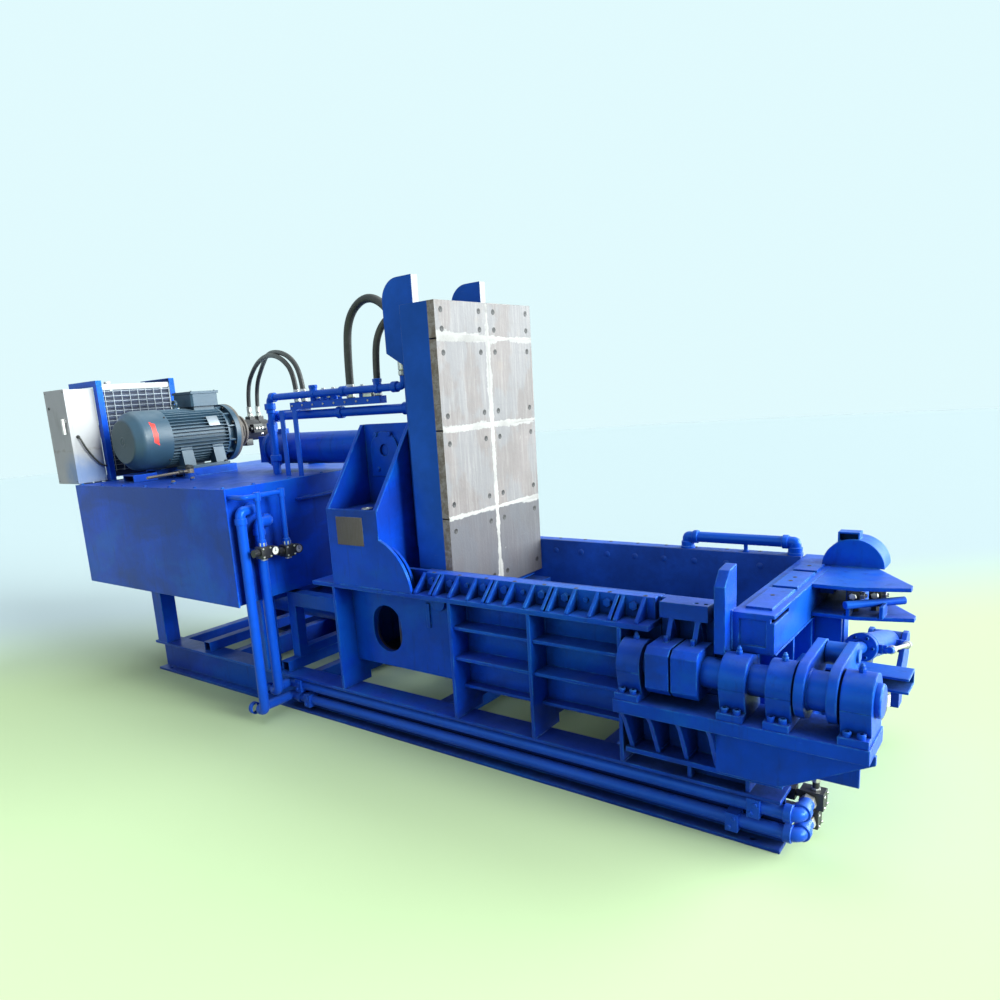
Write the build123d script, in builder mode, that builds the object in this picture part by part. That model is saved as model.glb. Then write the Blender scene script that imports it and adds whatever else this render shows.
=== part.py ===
from build123d import *
from math import atan2, cos, hypot, pi, radians, sin, tan
import os

# Recycling baler: a hydraulic scrap press on a skid.
# X runs along the machine from the tank to the end beam, Y across it away from the
# turn-out shaft, Z up. The origin is the centre of the skid's footprint on the floor.
# Everything is in millimetres. The rest pose has the lid open and the ram drawn back.

# Skid
skid_length = 3940
skid_width = 1100
beam_height = 200
beam_width = 130
beam_web = 10
beam_flange = 14
anchor_hole_radius = 11
anchor_spacing_x = 3740
anchor_inset = 30

# Pressing chamber
chamber_width = 780
liner_thickness = 15
wall_thickness = 25
floor_top = 350
floor_thickness = 20
wall_top = 850
deck_top = 765
deck_thickness = 20
end_face = 1780
portal_x = -170
cradle_start = 1503
leg_thickness = 16
leg_stations = (-170, 570, 985, 1390)
seam = 3

# Ram
ram_top = 645
ram_length = 420
ram_face = 520
ram_clearance = 3
rod_radius = 60
main_barrel_radius = 112
main_bore = 94
main_cylinder_rise = 110
ram_stroke = 960

# Lid
hinge_x = 420
hinge_z = 705
hinge_pin_radius = 40
hinge_barrel_radius = 52
lid_side_gap = 6
lid_depth = 160
lid_length = 1350
lid_foot = 15
wear_plate_thickness = 40
wear_plate_lead = 50
horn_thickness = 45
horn_y = 265
horn_width = 190
horn_narrow = 92
horn_reach = 1490
horn_corner = 100

# Lid cylinder
trunnion_x = -15
trunnion_z = 1400
trunnion_radius = 42
lid_cylinder_radius = 92
lid_bore_radius = 78
lid_cylinder_back = 1145
lid_rod_radius = 40
lid_eye_x = 140
lid_eye_radius = 55
lid_eye_width = 84
lid_eye_pin = 28

# Towers
tower_front = 170
tower_plate = 20
tower_top = 1530
tower_knee = 1145
tower_bearing_y = 250
tower_bearing_plate = 40

# Turn-out
shaft_inset = 10
shaft_z = 625
shaft_radius = 55
collar_half = 88
lever_pin_dy = 200
lever_pin_dz = 65
lever_starts = (2024, 2120)
lever_plate = 30
boss_radius = 66
block_starts = (1405, 1782, 1935, 2158)
block_widths = (92, 88, 80, 88)
block_radius = 86
table_top = 500
table_thickness = 50
table_end = 2250
table_overhang = 100
anchor_reach = 90
anchor_z = 440
turn_stroke = 345

# Power pack
tank_left = -2170
tank_right = -630
tank_half_width = 800
tank_bottom = 656
tank_top = 1265
valve_x = -1530
valve_y = -400
motor_x = -1780
motor_z = 1510
motor_setback = 137
cooler_x = -2110
cooler_setback = 235
cooler_width = 470

# Pipes
pipe_radius = 28
elbow_radius = 35
hose_radius = 21

# Values worked out from the driving dimensions
inner = chamber_width / 2
wall_in = inner + liner_thickness
wall_out = wall_in + wall_thickness
edge = skid_width / 2
shaft_y = shaft_inset - edge
table_edge = -edge - table_overhang
anchor_y = edge + anchor_reach
motor_front = motor_setback - tank_half_width
beam_y = edge - beam_width / 2
floor_bottom = floor_top - floor_thickness
main_z = floor_top + main_cylinder_rise
sides = (-1, 1)

os.makedirs("parts", exist_ok=True)


def save(piece, node):
    """Label a finished piece with its node name and write its STEP file."""
    piece.part.label = node
    export_step(piece.part, f"parts/{node}.step")


def block(x, y, z, mode=Mode.ADD):
    """Add a box between three pairs of coordinates."""
    with Locations(((x[0] + x[1]) / 2, (y[0] + y[1]) / 2, (z[0] + z[1]) / 2)):
        Box(abs(x[1] - x[0]), abs(y[1] - y[0]), abs(z[1] - z[0]), mode=mode)


def bar_x(x, y, z, radius, mode=Mode.ADD):
    """Add a round bar along X."""
    with Locations(((x[0] + x[1]) / 2, y, z)):
        Cylinder(radius, abs(x[1] - x[0]), rotation=(0, 90, 0), mode=mode)


def bar_y(x, y, z, radius, mode=Mode.ADD):
    """Add a round bar along Y."""
    with Locations((x, (y[0] + y[1]) / 2, z)):
        Cylinder(radius, abs(y[1] - y[0]), rotation=(90, 0, 0), mode=mode)


def bar_z(x, y, z, radius, mode=Mode.ADD):
    """Add a round bar along Z."""
    with Locations((x, y, (z[0] + z[1]) / 2)):
        Cylinder(radius, abs(z[1] - z[0]), mode=mode)


def plate_yz(x, points, mode=Mode.ADD):
    """Add a flat plate with a YZ outline between two X coordinates."""
    with BuildSketch(Plane.YZ.offset(x[0])) as outline:
        with BuildLine():
            Polyline(*points, close=True)
        make_face()
    extrude(outline.sketch, amount=x[1] - x[0], mode=mode)


def plate_xz(y, points, mode=Mode.ADD):
    """Add a flat plate with an XZ outline between two Y coordinates."""
    with BuildSketch(Plane.XZ.offset(-y[1])) as outline:
        with BuildLine():
            Polyline(*points, close=True)
        make_face()
    extrude(outline.sketch, amount=y[1] - y[0], mode=mode)


def hexagon(plane, radius, depth):
    """Add a hexagon bolt head that stands on a plane."""
    with BuildSketch(plane) as head:
        RegularPolygon(radius, 6)
    extrude(head.sketch, amount=depth)


def widest_bends(points):
    """Give each corner of a hose the largest bend radius that its two runs allow."""
    bends = []
    for before, corner, after in zip(points, points[1:], points[2:]):
        arriving = Vector(corner) - Vector(before)
        leaving = Vector(after) - Vector(corner)
        half_turn = radians(arriving.get_angle(leaving)) / 2
        bends.append(0.45 * min(arriving.length, leaving.length) / tan(half_turn))
    return bends


def pipe(points, radius, bend):
    """Add a pipe along a route of points, with one bend radius or a list of them."""
    with BuildLine() as route:
        if len(points) > 2:
            FilletPolyline(*points, radius=bend)
        else:
            Line(*points)
    with BuildSketch(Plane(origin=route.wire() @ 0, z_dir=route.wire() % 0)) as section:
        Circle(radius)
    sweep(section.sketch, path=route.wire())


# Skid: two I-beams, with the anchor holes in their bottom flanges
with BuildPart() as skid_beams:
    for side in sides:
        with BuildSketch(Plane.YZ.offset(-skid_length / 2)):
            with Locations((side * beam_y, beam_height / 2)):
                Rectangle(beam_width, beam_height)
            for hand in sides:
                with Locations((side * beam_y + hand * (beam_width + beam_web) / 4, beam_height / 2)):
                    Rectangle((beam_width - beam_web) / 2, beam_height - 2 * beam_flange, mode=Mode.SUBTRACT)
        extrude(amount=skid_length)
    for end in sides:
        for side in sides:
            bar_z(end * anchor_spacing_x / 2, side * (edge - anchor_inset), (0, beam_flange),
                  anchor_hole_radius, mode=Mode.SUBTRACT)
save(skid_beams, "skid_beams")

# Skid: end channels and cross beams between the webs, and two cross tubes on top
channel_height = 120
cross_stations = (-skid_length / 2, -1400, -640, 300, 1200, 1800)
tube_stations = (-1450, -700)
tube_size = 60
web_face = beam_y - beam_web / 2
with BuildPart() as skid_cross:
    for x in cross_stations:
        block((x, x + 60), (-web_face, web_face), (40, 40 + channel_height))
        block((x + 8, x + 52), (-web_face, web_face), (48, 32 + channel_height), mode=Mode.SUBTRACT)
    for x in tube_stations:
        block((x, x + tube_size), (-edge + 30, edge - 30), (beam_height, beam_height + tube_size))
        block((x + 5, x + tube_size - 5), (-edge + 30, edge - 30),
              (beam_height + 5, beam_height + tube_size - 5), mode=Mode.SUBTRACT)
save(skid_cross, "skid_cross_members")

# Chamber legs: plates under the deck on both sides, joined by a bearer under the floor
bearer_bottom = 240
leg_foot = 200
with BuildPart() as chamber_legs:
    for x in leg_stations:
        span = (x - leg_thickness, x)
        for side in sides:
            block(span, (side * (edge - leg_foot), side * edge), (beam_height, floor_bottom))
            block(span, (side * wall_out, side * edge), (beam_height, deck_top - deck_thickness))
        block(span, (-edge + leg_foot, edge - leg_foot), (bearer_bottom, floor_bottom))
    block((portal_x - leg_thickness, portal_x), (-wall_out, wall_out), (floor_bottom, deck_top - deck_thickness))
    bar_x((portal_x - leg_thickness, portal_x), 0, main_z, rod_radius + 6, mode=Mode.SUBTRACT)
save(chamber_legs, "chamber_legs")

# Side walls: web plate, deck flange on the legs, and stiffening ribs between the legs
deck_start = -330
wall_end = cradle_start - seam
rib_heights = (620, 478)
rib_thickness = 14
rib_edge = edge - 15
access_x = 60
access_z = 525
access_height = 240
access_width = 190


def wall_ribs(side, stations):
    """Add the horizontal ribs between neighbouring legs on one side."""
    for left, right in zip(stations[:-1], stations[1:]):
        for z in rib_heights:
            block((left, right - leg_thickness), (side * wall_out, side * rib_edge), (z, z + rib_thickness))
        block((left, right - leg_thickness), (side * wall_out, side * (wall_out + 50)),
              (floor_bottom, floor_bottom + rib_thickness))


def access_hole(depth, thickness):
    """Cut the obround access hole through a near-side plate."""
    with BuildSketch(Plane.XZ.offset(depth)) as outline:
        with Locations((access_x, access_z)):
            SlotOverall(access_height, access_width, rotation=90)
    extrude(outline.sketch, amount=thickness, mode=Mode.SUBTRACT)


with BuildPart() as near_wall:
    block((portal_x, wall_end), (-wall_out, -wall_in), (floor_bottom, deck_top))
    block((tower_front + 12, wall_end), (-wall_out, -wall_in), (deck_top, wall_top))
    block((deck_start, wall_end), (-edge, -wall_out), (deck_top - deck_thickness, deck_top))
    block((deck_start, tower_front + 12), (-wall_out, -wall_in), (deck_top - deck_thickness, deck_top))
    wall_ribs(-1, leg_stations[1:])
    block((330, 352), (-wall_out - 8, -wall_out), (570, 690))
    access_hole(wall_in, wall_thickness)
    bar_y(hinge_x, (-wall_out, -wall_in), hinge_z, hinge_pin_radius + 0.05, mode=Mode.SUBTRACT)
save(near_wall, "near_side_wall")

with BuildPart() as far_wall:
    block((portal_x, end_face), (wall_in, wall_out), (floor_bottom, deck_top))
    block((tower_front + 12, end_face), (wall_in, wall_out), (deck_top, wall_top))
    block((deck_start, end_face), (wall_out, edge), (deck_top - deck_thickness, deck_top))
    block((deck_start, tower_front + 12), (wall_in, wall_out), (deck_top - deck_thickness, deck_top))
    wall_ribs(1, leg_stations)
    bar_y(hinge_x, (wall_in, wall_out), hinge_z, hinge_pin_radius + 0.05, mode=Mode.SUBTRACT)
save(far_wall, "far_side_wall")

# Top rails: thick strips along the wall tops, with slanted gussets and bolts in the bays
rail_thickness = 30
rail_start = 370
rail_ends = {-1: wall_end - 10, 1: end_face - 10}
group_start = 460
group_pitch = 297
groups = 4
bolt_spread = 55
gusset_spread = 43
gusset_thickness = 14
bolt_z = 812


def top_rail(side):
    """Add one bolted rail with its gussets and bolts."""
    face = side * (wall_out + rail_thickness)
    block((rail_start, rail_ends[side]), (side * wall_out, face), (deck_top, wall_top))
    toe = side * (edge - 8)
    for group in range(groups):
        middle = group_start + group * group_pitch
        for hand in sides:
            bolt_x = middle + hand * bolt_spread
            for flank in sides:
                x = bolt_x + flank * gusset_spread
                plate_yz((x - gusset_thickness / 2, x + gusset_thickness / 2),
                         ((face, deck_top), (toe, deck_top), (toe, deck_top + 8), (face, wall_top)))
            plane = Plane(origin=(bolt_x, face, bolt_z), z_dir=(0, side, 0))
            hexagon(plane, 18, 14)
        plug_x = middle + group_pitch / 2
        if plug_x < rail_ends[side] - 15:
            bar_y(plug_x, (face, face + side * 10), bolt_z, 10)


with BuildPart() as top_rails:
    for side in sides:
        top_rail(side)
save(top_rails, "top_rails")

# Wall liner plates: low under the hold-down plate, full height in the open chamber
hold_down_bottom = ram_top + 5
hold_down_thickness = 28
hold_down_front = 345
with BuildPart() as wall_liners:
    for side, end in ((-1, wall_end), (1, end_face)):
        block((portal_x, end), (side * inner, side * wall_in), (floor_top, hold_down_bottom))
        block((hold_down_front + seam, end), (side * inner, side * wall_in), (hold_down_bottom, wall_top))
        bar_y(hinge_x, (side * inner, side * wall_in), hinge_z, hinge_pin_radius + 0.05, mode=Mode.SUBTRACT)
    access_hole(inner, liner_thickness)
save(wall_liners, "wall_liner_plates")

# Floor: one plate, open where the turn-out cradle carries the last stretch
cradle_end = 1735
cradle_tip = 300
cradle_floor = 30
with BuildPart() as chamber_floor:
    block((portal_x, end_face), (-wall_in, wall_in), (floor_bottom, floor_top))
    block((cradle_start - seam, cradle_end + seam), (-wall_in, cradle_tip + seam),
          (floor_bottom, floor_top), mode=Mode.SUBTRACT)
save(chamber_floor, "chamber_floor")

# Hold-down plate above the drawn-back ram, with stiffeners across it
with BuildPart() as hold_down:
    block((portal_x, hold_down_front), (-wall_in, wall_in),
          (hold_down_bottom, hold_down_bottom + hold_down_thickness))
    for x in (-100, 60, 220):
        block((x, x + 20), (-tower_bearing_y + tower_bearing_plate, tower_bearing_y - tower_bearing_plate),
              (hold_down_bottom + hold_down_thickness, deck_top - 20))
save(hold_down, "ram_hold_down")

# Towers: low front plate, two slanted side plates, bearing plate and arc gussets
bearing_inner = tower_bearing_y - tower_bearing_plate
tower_base = hold_down_bottom + hold_down_thickness


def tower(side):
    """Add the tower that carries one trunnion of the lid cylinder."""
    outline = ((side * edge, deck_top), (side * edge, tower_knee),
               (side * (tower_bearing_y + 10), tower_top), (side * bearing_inner, tower_top),
               (side * bearing_inner, tower_base), (side * wall_in, tower_base),
               (side * wall_in, deck_top))
    for x in (portal_x, tower_front - tower_plate):
        plate_yz((x, x + tower_plate), outline)
    block((portal_x, tower_front), (side * (edge - 16), side * edge), (deck_top, tower_knee))
    block((portal_x, tower_front), (side * bearing_inner, side * tower_bearing_y), (tower_base, tower_top))
    block((portal_x + tower_plate, tower_front - tower_plate), (side * tower_bearing_y, side * (edge - 16)),
          (tower_knee - 30, tower_knee - 16))
    bar_y(trunnion_x, (side * bearing_inner, side * tower_bearing_y), trunnion_z,
          trunnion_radius + 0.05, mode=Mode.SUBTRACT)
    for y, reach, height in ((side * (edge - 8), 176, 240), (side * (wall_out + 32), 120, 190)):
        arc_gusset(y, reach, height)


def arc_gusset(y, reach, height):
    """Add a gusset with a bulging edge between the tower and the deck."""
    with BuildSketch(Plane.XZ.offset(-(y + 8))) as outline:
        with BuildLine():
            start = (tower_front, deck_top + height)
            end = (tower_front + reach, deck_top)
            middle = (tower_front + 0.68 * reach, deck_top + 0.62 * height)
            ThreePointArc(start, middle, end)
            Polyline(end, (tower_front, deck_top), start)
        make_face()
    extrude(outline.sketch, amount=16)


def trunnion_cap(side):
    """Add the round-topped cover plate over one trunnion, with its four bolts."""
    face = Plane(origin=(trunnion_x, side * tower_bearing_y, trunnion_z), x_dir=(1, 0, 0), z_dir=(0, side, 0))
    with BuildSketch(face) as outline:
        Circle(cap_radius)
        with Locations((0, side * cap_drop / 2)):
            Rectangle(2 * cap_radius, cap_drop)
        Circle(trunnion_radius - 12, mode=Mode.SUBTRACT)
    extrude(outline.sketch, amount=cap_thickness)
    for dx in sides:
        for dz in (80, -95):
            origin = (trunnion_x + dx * 46, side * (tower_bearing_y + cap_thickness), trunnion_z + dz)
            hexagon(Plane(origin=origin, z_dir=(0, side, 0)), 12, 9)


cap_thickness = 12
cap_radius = 92
cap_drop = 130
with BuildPart() as towers:
    for side in sides:
        tower(side)
        trunnion_cap(side)
    block((-105, 75), (-edge - 2, -edge), (deck_top + 205, deck_top + 345))
save(towers, "cylinder_towers")

# End beam: hollow box with pads and a slot, the end wall under it, and the guide plate
end_beam_width = 145
end_beam_bottom = 700
end_beam_side = 8
pad_height = 8
beam_half = 490
guide_thickness = 38
guide_top = 1000
with BuildPart() as end_beam:
    block((end_face, end_face + end_beam_width), (-beam_half, beam_half), (end_beam_bottom, wall_top - pad_height))
    block((end_face + 12, end_face + end_beam_width - 12), (-beam_half + 14, beam_half - 14),
          (end_beam_bottom + 12, wall_top - pad_height - 12), mode=Mode.SUBTRACT)
    block((end_face + 28, end_face + end_beam_width - 28), (-beam_half, -beam_half + 8),
          (end_beam_bottom + 26, wall_top - pad_height - 22), mode=Mode.SUBTRACT)
    block((end_face + end_beam_width - 14, end_face + end_beam_width), (-beam_half, -320),
          (wall_top - 36, wall_top - 20), mode=Mode.SUBTRACT)
    for y0, y1 in ((-beam_half + 60, -150), (-120, 130), (160, 290)):
        block((end_face + 30, end_face + end_beam_width - 25), (y0, y1), (wall_top - pad_height, wall_top))
    block((end_face, end_face + 30), (-inner, wall_out), (floor_bottom, end_beam_bottom))
    block((end_face, end_face + 60), (-inner, -inner + 20), (beam_height + 50, end_beam_bottom))
    for y in (-250, 0, 250):
        block((end_face + 30, end_face + end_beam_width), (y - 8, y + 8), (beam_height + 60, end_beam_bottom))
    block((end_face, end_face + end_beam_width), (wall_out, wall_out + 20), (beam_height, end_beam_bottom))
    plate_yz((end_face - guide_thickness, end_face),
             ((-edge, end_beam_bottom), (-wall_out - 4, end_beam_bottom), (-wall_out - 4, guide_top),
              (-edge + 45, guide_top - 10), (-edge, guide_top - 60)))
save(end_beam, "end_beam")

# End stiffeners: horizontal ribs with blunt tips, brackets, a channel and a half-round guard
back = end_face + end_beam_width
rib_plate = 14
upper_rib_z = wall_top - pad_height - rib_plate
lower_rib_z = 716
tip_x = 2245
guard_radius = 115
guard_x = back + 75
guard_z = upper_rib_z + rib_plate
guard_near = 300
guard_far = 430
channel_near = -250
channel_width = 120
channel_bottom = 545
handrail_z = lower_rib_z + 60
post_near = 215
post_far = 290
post_depth = 70
post_round = 45
post_top = lower_rib_z
post_bottom = 527
with BuildPart() as end_stiffeners:
    for z, tip in ((upper_rib_z, tip_x), (lower_rib_z, tip_x + 14)):
        with BuildSketch(Plane.XY.offset(z)):
            with BuildLine():
                Polyline((back, -20), (back + 150, -20), (tip, 35), (tip, 75), (back + 60, 470), (back, 470), close=True)
            make_face()
        extrude(amount=rib_plate)
    block((back, back + 50), (100, 350), (upper_rib_z - 50, upper_rib_z))
    block((back + 95, back + 145), (100, 460), (lower_rib_z + rib_plate, upper_rib_z))
    block((back, back + 95), (40, 56), (lower_rib_z - 140, lower_rib_z))
    for x in (back + 120, back + 230):
        block((x, x + 12), (-20, 70), (lower_rib_z + rib_plate, handrail_z))
    pipe(((back + 120, -40, handrail_z), (back + 290, 110, handrail_z)), 15, 1)
    with BuildSketch(Plane.YZ.offset(back)):
        with BuildLine():
            Polyline((post_near, post_top - post_round), (post_near, post_bottom), (post_far, post_bottom),
                     (post_far, post_top), (post_near + post_round, post_top))
            RadiusArc((post_near + post_round, post_top), (post_near, post_top - post_round), -post_round)
        make_face()
    extrude(amount=post_depth)
    block((back, back + 365), (channel_near, channel_near + channel_width), (channel_bottom, channel_bottom + 55))
    block((back, back + 365), (channel_near, channel_near + channel_width - 10),
          (channel_bottom + 8, channel_bottom + 47), mode=Mode.SUBTRACT)
    for y0, y1 in ((guard_near, guard_near + 12), (guard_near + 12, guard_far)):
        with BuildSketch(Plane.XZ.offset(-y1)):
            with Locations((guard_x, guard_z)):
                Circle(guard_radius)
                if y0 > guard_near:
                    Circle(guard_radius - 10, mode=Mode.SUBTRACT)
            with Locations((guard_x, guard_z - guard_radius)):
                Rectangle(2.2 * guard_radius, 2 * guard_radius, mode=Mode.SUBTRACT)
        extrude(amount=y1 - y0)
    guard_top = guard_z + guard_radius
    block((guard_x - 60, guard_x + 20), (guard_near + 12, guard_near + 70), (guard_top - 20, guard_top + 26))
    block((guard_x - 54, guard_x + 14), (guard_near + 12, guard_near + 60), (guard_top - 8, guard_top + 20),
          mode=Mode.SUBTRACT)
save(end_stiffeners, "end_stiffeners")

# Turn-out table: thick top plate, slanted ribs, lower plate, tapering side plate, posts
table_start = 1400
table_back = -wall_out - 10
lower_plate_z = 268
rib_stations = (1415, 1520, 1630, 1740)
post_xs = (1640, 1850)
table_under = table_top - table_thickness
with BuildPart() as turnout_table:
    block((table_start, table_end), (table_edge, table_back), (table_under, table_top))
    block((table_start, 1975), (-edge, table_back), (lower_plate_z - 20, lower_plate_z))
    for x in rib_stations:
        plate_yz((x, x + 16), ((table_edge + 15, table_under), (table_edge + 45, table_under - 40),
                               (-edge + 10, lower_plate_z), (table_back, lower_plate_z), (table_back, table_under)))
    plate_xz((-edge - 24, -edge - 8),
             ((1756, table_under), (table_end + 5, table_under), (table_end + 5, table_under - 30),
              (1975, lower_plate_z), (1756, lower_plate_z)))
    block((table_start, table_end - 60), (table_back - 14, table_back), (lower_plate_z, table_under))
    for x in post_xs:
        block((x, x + 14), (-edge + 10, table_back), (beam_height, lower_plate_z - 20))
    block((post_xs[0], post_xs[1] + 14), (-edge + 60, -edge + 72), (beam_height, lower_plate_z - 20))
save(turnout_table, "turnout_table")

# Pillow blocks: round housings on slanted feet
foot_height = 26
with BuildPart() as pillow_blocks:
    for start, width in zip(block_starts, block_widths):
        with BuildSketch(Plane.YZ.offset(start)):
            with Locations((shaft_y, shaft_z)):
                Circle(block_radius)
            with BuildLine():
                Polyline((table_edge + 5, table_top), (table_edge + 5, table_top + foot_height),
                         (table_edge + 42, table_top + foot_height), (shaft_y - block_radius, shaft_z - 20),
                         (shaft_y + block_radius, shaft_z), (shaft_y + block_radius, table_top), close=True)
            make_face()
            with Locations((shaft_y, shaft_z)):
                Circle(shaft_radius + 0.05, mode=Mode.SUBTRACT)
        extrude(amount=width)
save(pillow_blocks, "pillow_blocks")

collar_spans = ((1520, 1608), (1616, 1710))

# Turn-out shaft
shaft_start = 1397
shaft_end = 2265
with BuildPart() as turnout_shaft:
    bar_x((shaft_start, shaft_end), shaft_y, shaft_z, shaft_radius)
    chamfer(turnout_shaft.edges().filter_by(GeomType.CIRCLE), length=4)
save(turnout_shaft, "turnout_shaft")

# Turn-out cradle: collars on the shaft, arms, the gate in the near wall and the tipping floor
gate_outer = -wall_out
gate_top = wall_top - 2
top_block_y = gate_outer - 62
with BuildPart() as turnout_cradle:
    for x0, x1 in collar_spans:
        with BuildSketch(Plane.YZ.offset(x0)):
            with Locations((shaft_y, shaft_z)):
                Rectangle(2 * collar_half, 2 * collar_half)
        extrude(amount=x1 - x0)
    chamfer(turnout_cradle.edges().filter_by(Axis.X), length=24)
    for x0, x1 in collar_spans:
        bar_z((x0 + x1) / 2, shaft_y, (shaft_z + collar_half, shaft_z + collar_half + 22), 9)
        x = (x0 + x1) / 2 - 9
        plate_yz((x, x + 18), ((shaft_y + 10, shaft_z + collar_half - 2), (top_block_y, gate_top - 60),
                               (gate_outer, gate_top - 60), (gate_outer, shaft_z - collar_half + 10),
                               (shaft_y + collar_half - 2, shaft_z - collar_half + 30)))
    bar_x((collar_spans[0][0], collar_spans[1][1]), shaft_y, shaft_z, shaft_radius, mode=Mode.SUBTRACT)
    block((cradle_start, cradle_end), (gate_outer, -inner), (floor_top - cradle_floor, gate_top))
    block((collar_spans[0][0], collar_spans[1][1] - 10), (top_block_y, gate_outer), (gate_top - 60, gate_top))
    for x in (1648, 1682):
        bar_z(x, top_block_y + 30, (gate_top - 30, gate_top), 8, mode=Mode.SUBTRACT)
    block((cradle_start, cradle_end), (-inner, cradle_tip), (floor_top - cradle_floor, floor_top))
    for x in (cradle_start + 40, cradle_end - 60):
        block((x, x + 20), (-inner, cradle_tip - 60), (floor_top - cradle_floor - 60, floor_top - cradle_floor))
save(turnout_cradle, "turnout_cradle")

# Turn-out levers: two teardrop plates and a boss, keyed on the shaft
lever_big = 97
lever_small = 46
pin_y = shaft_y + lever_pin_dy
pin_z = shaft_z + lever_pin_dz
turn_pin_radius = 24
eye_gap = 3
lever_inner = (lever_starts[0] + lever_plate, lever_starts[1])
with BuildPart() as turnout_levers:
    for x in lever_starts:
        with BuildSketch(Plane.YZ.offset(x)):
            with BuildLine():
                angle = atan2(lever_pin_dz, lever_pin_dy)
                lean = pi / 2 - 0.22
                big = [(shaft_y + lever_big * cos(angle + s * lean), shaft_z + lever_big * sin(angle + s * lean))
                       for s in sides]
                small = [(pin_y + lever_small * cos(angle + s * lean), pin_z + lever_small * sin(angle + s * lean))
                         for s in sides]
                back_point = (shaft_y - lever_big * cos(angle), shaft_z - lever_big * sin(angle))
                tip_point = (pin_y + lever_small * cos(angle), pin_z + lever_small * sin(angle))
                ThreePointArc(big[1], back_point, big[0])
                Line(big[0], small[0])
                ThreePointArc(small[0], tip_point, small[1])
                Line(small[1], big[1])
            make_face()
        extrude(amount=lever_plate)
    bar_x(lever_inner, shaft_y, shaft_z, boss_radius)
    bar_x((lever_starts[0], lever_starts[1] + lever_plate), shaft_y, shaft_z, shaft_radius, mode=Mode.SUBTRACT)
    bar_x((lever_starts[0] - 8, lever_inner[0]), pin_y, pin_z, turn_pin_radius)
    bar_x((lever_inner[1], lever_starts[1] + lever_plate + 8), pin_y, pin_z, turn_pin_radius)
save(turnout_levers, "turnout_levers")

# Turn-out cylinder, modelled along its own slanted axis from the anchor pin
turn_x = (lever_inner[0] + lever_inner[1]) / 2
turn_reach = hypot(pin_y - anchor_y, pin_z - anchor_z)
turn_axis = Vector(0, pin_y - anchor_y, pin_z - anchor_z).normalized()
barrel_radius = 50
turn_bore = 40
turn_rod_radius = 24
tail_start = 45
gland_start = tail_start + turn_stroke + 190
gland_end = gland_start + 35
gland_depth = 40


def turn_plane(distance):
    """Give the plane across the turn-out cylinder at a distance from its anchor pin."""
    point = Vector(turn_x, anchor_y, anchor_z) + turn_axis * distance
    return Plane(origin=point, x_dir=(1, 0, 0), z_dir=turn_axis)


def turn_disc(start, end, radius, mode=Mode.ADD):
    """Add a round stretch of the turn-out cylinder."""
    with BuildSketch(turn_plane(start)) as disc:
        Circle(radius)
    extrude(disc.sketch, amount=end - start, mode=mode)


anchor_pin = 25
tail_half = 53
tail_radius = 46
clevis_gap = 3
clevis_plate = 20
with BuildPart() as turnout_barrel:
    turn_disc(tail_start, gland_start, barrel_radius)
    turn_disc(gland_start, gland_end, barrel_radius + 6)
    bar_x((turn_x - tail_half, turn_x + tail_half), anchor_y, anchor_z, tail_radius)
    turn_disc(tail_start + 30, gland_end - gland_depth, turn_bore, mode=Mode.SUBTRACT)
    turn_disc(gland_end - gland_depth, gland_end, turn_rod_radius + 0.05, mode=Mode.SUBTRACT)
    bar_x((turn_x - tail_half, turn_x + tail_half), anchor_y, anchor_z, anchor_pin + 0.05, mode=Mode.SUBTRACT)
    for distance in (tail_start + 65, gland_start - 25):
        port = turn_plane(distance)
        with BuildSketch(Plane(origin=port.origin, x_dir=turn_axis, z_dir=(1, 0, 0)).offset(barrel_radius - 6)):
            Rectangle(34, 34)
        extrude(amount=24)
save(turnout_barrel, "turnout_barrel")

with BuildPart() as turnout_rod:
    turn_disc(85, 105, turn_bore - 0.5)
    turn_disc(105, turn_reach - 30, turn_rod_radius)
    bar_x((lever_inner[0] + eye_gap, lever_inner[1] - eye_gap), pin_y, pin_z, 40)
    bar_x((lever_inner[0] + 0.4, lever_inner[1] - 0.4), pin_y, pin_z, turn_pin_radius)
save(turnout_rod, "turnout_rod")

# Turn-out anchor: a tall clevis that stands on the far skid beam's end
clevis_half = tail_half + clevis_gap
clevis_outer = clevis_half + clevis_plate
clevis_foot = edge - 80
foot_top = beam_height + 20
with BuildPart() as turnout_anchor:
    for side in sides:
        plate_yz(sorted((turn_x + side * clevis_half, turn_x + side * clevis_outer)),
                 ((clevis_foot, foot_top), (edge, foot_top), (anchor_y + 45, anchor_z - 60),
                  (anchor_y + 45, anchor_z + 30), (anchor_y + 20, anchor_z + 50), (anchor_y - 20, anchor_z + 50),
                  (clevis_foot, anchor_z - 90)))
    bar_x((turn_x - clevis_outer, turn_x + clevis_outer), anchor_y, anchor_z, anchor_pin)
    block((turn_x - clevis_half, turn_x + clevis_half), (clevis_foot, clevis_foot + 16), (foot_top, anchor_z - 90))
    block((end_face + 90, turn_x + clevis_outer), (clevis_foot, edge), (beam_height, foot_top))
save(turnout_anchor, "turnout_anchor")

# Main ram with its rod and barrel
ram_rear = ram_face - ram_length
ram_half = inner - ram_clearance
with BuildPart() as main_ram:
    block((ram_rear, ram_face), (-ram_half, ram_half), (floor_top, ram_top))
    block((ram_rear, ram_rear + 260), (-ram_half + 40, ram_half - 40), (floor_top + 40, ram_top - 30), mode=Mode.SUBTRACT)
    block((ram_rear + 60, ram_rear + 260), (-120, 120), (floor_top, ram_top))
save(main_ram, "main_ram")

barrel_front = portal_x - leg_thickness
barrel_back = barrel_front - ram_stroke - 260
with BuildPart() as main_rod:
    bar_x((barrel_back + 60, barrel_back + 120), 0, main_z, main_bore - 0.5)
    bar_x((barrel_back + 120, ram_rear + 60), 0, main_z, rod_radius)
save(main_rod, "main_rod")

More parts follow.
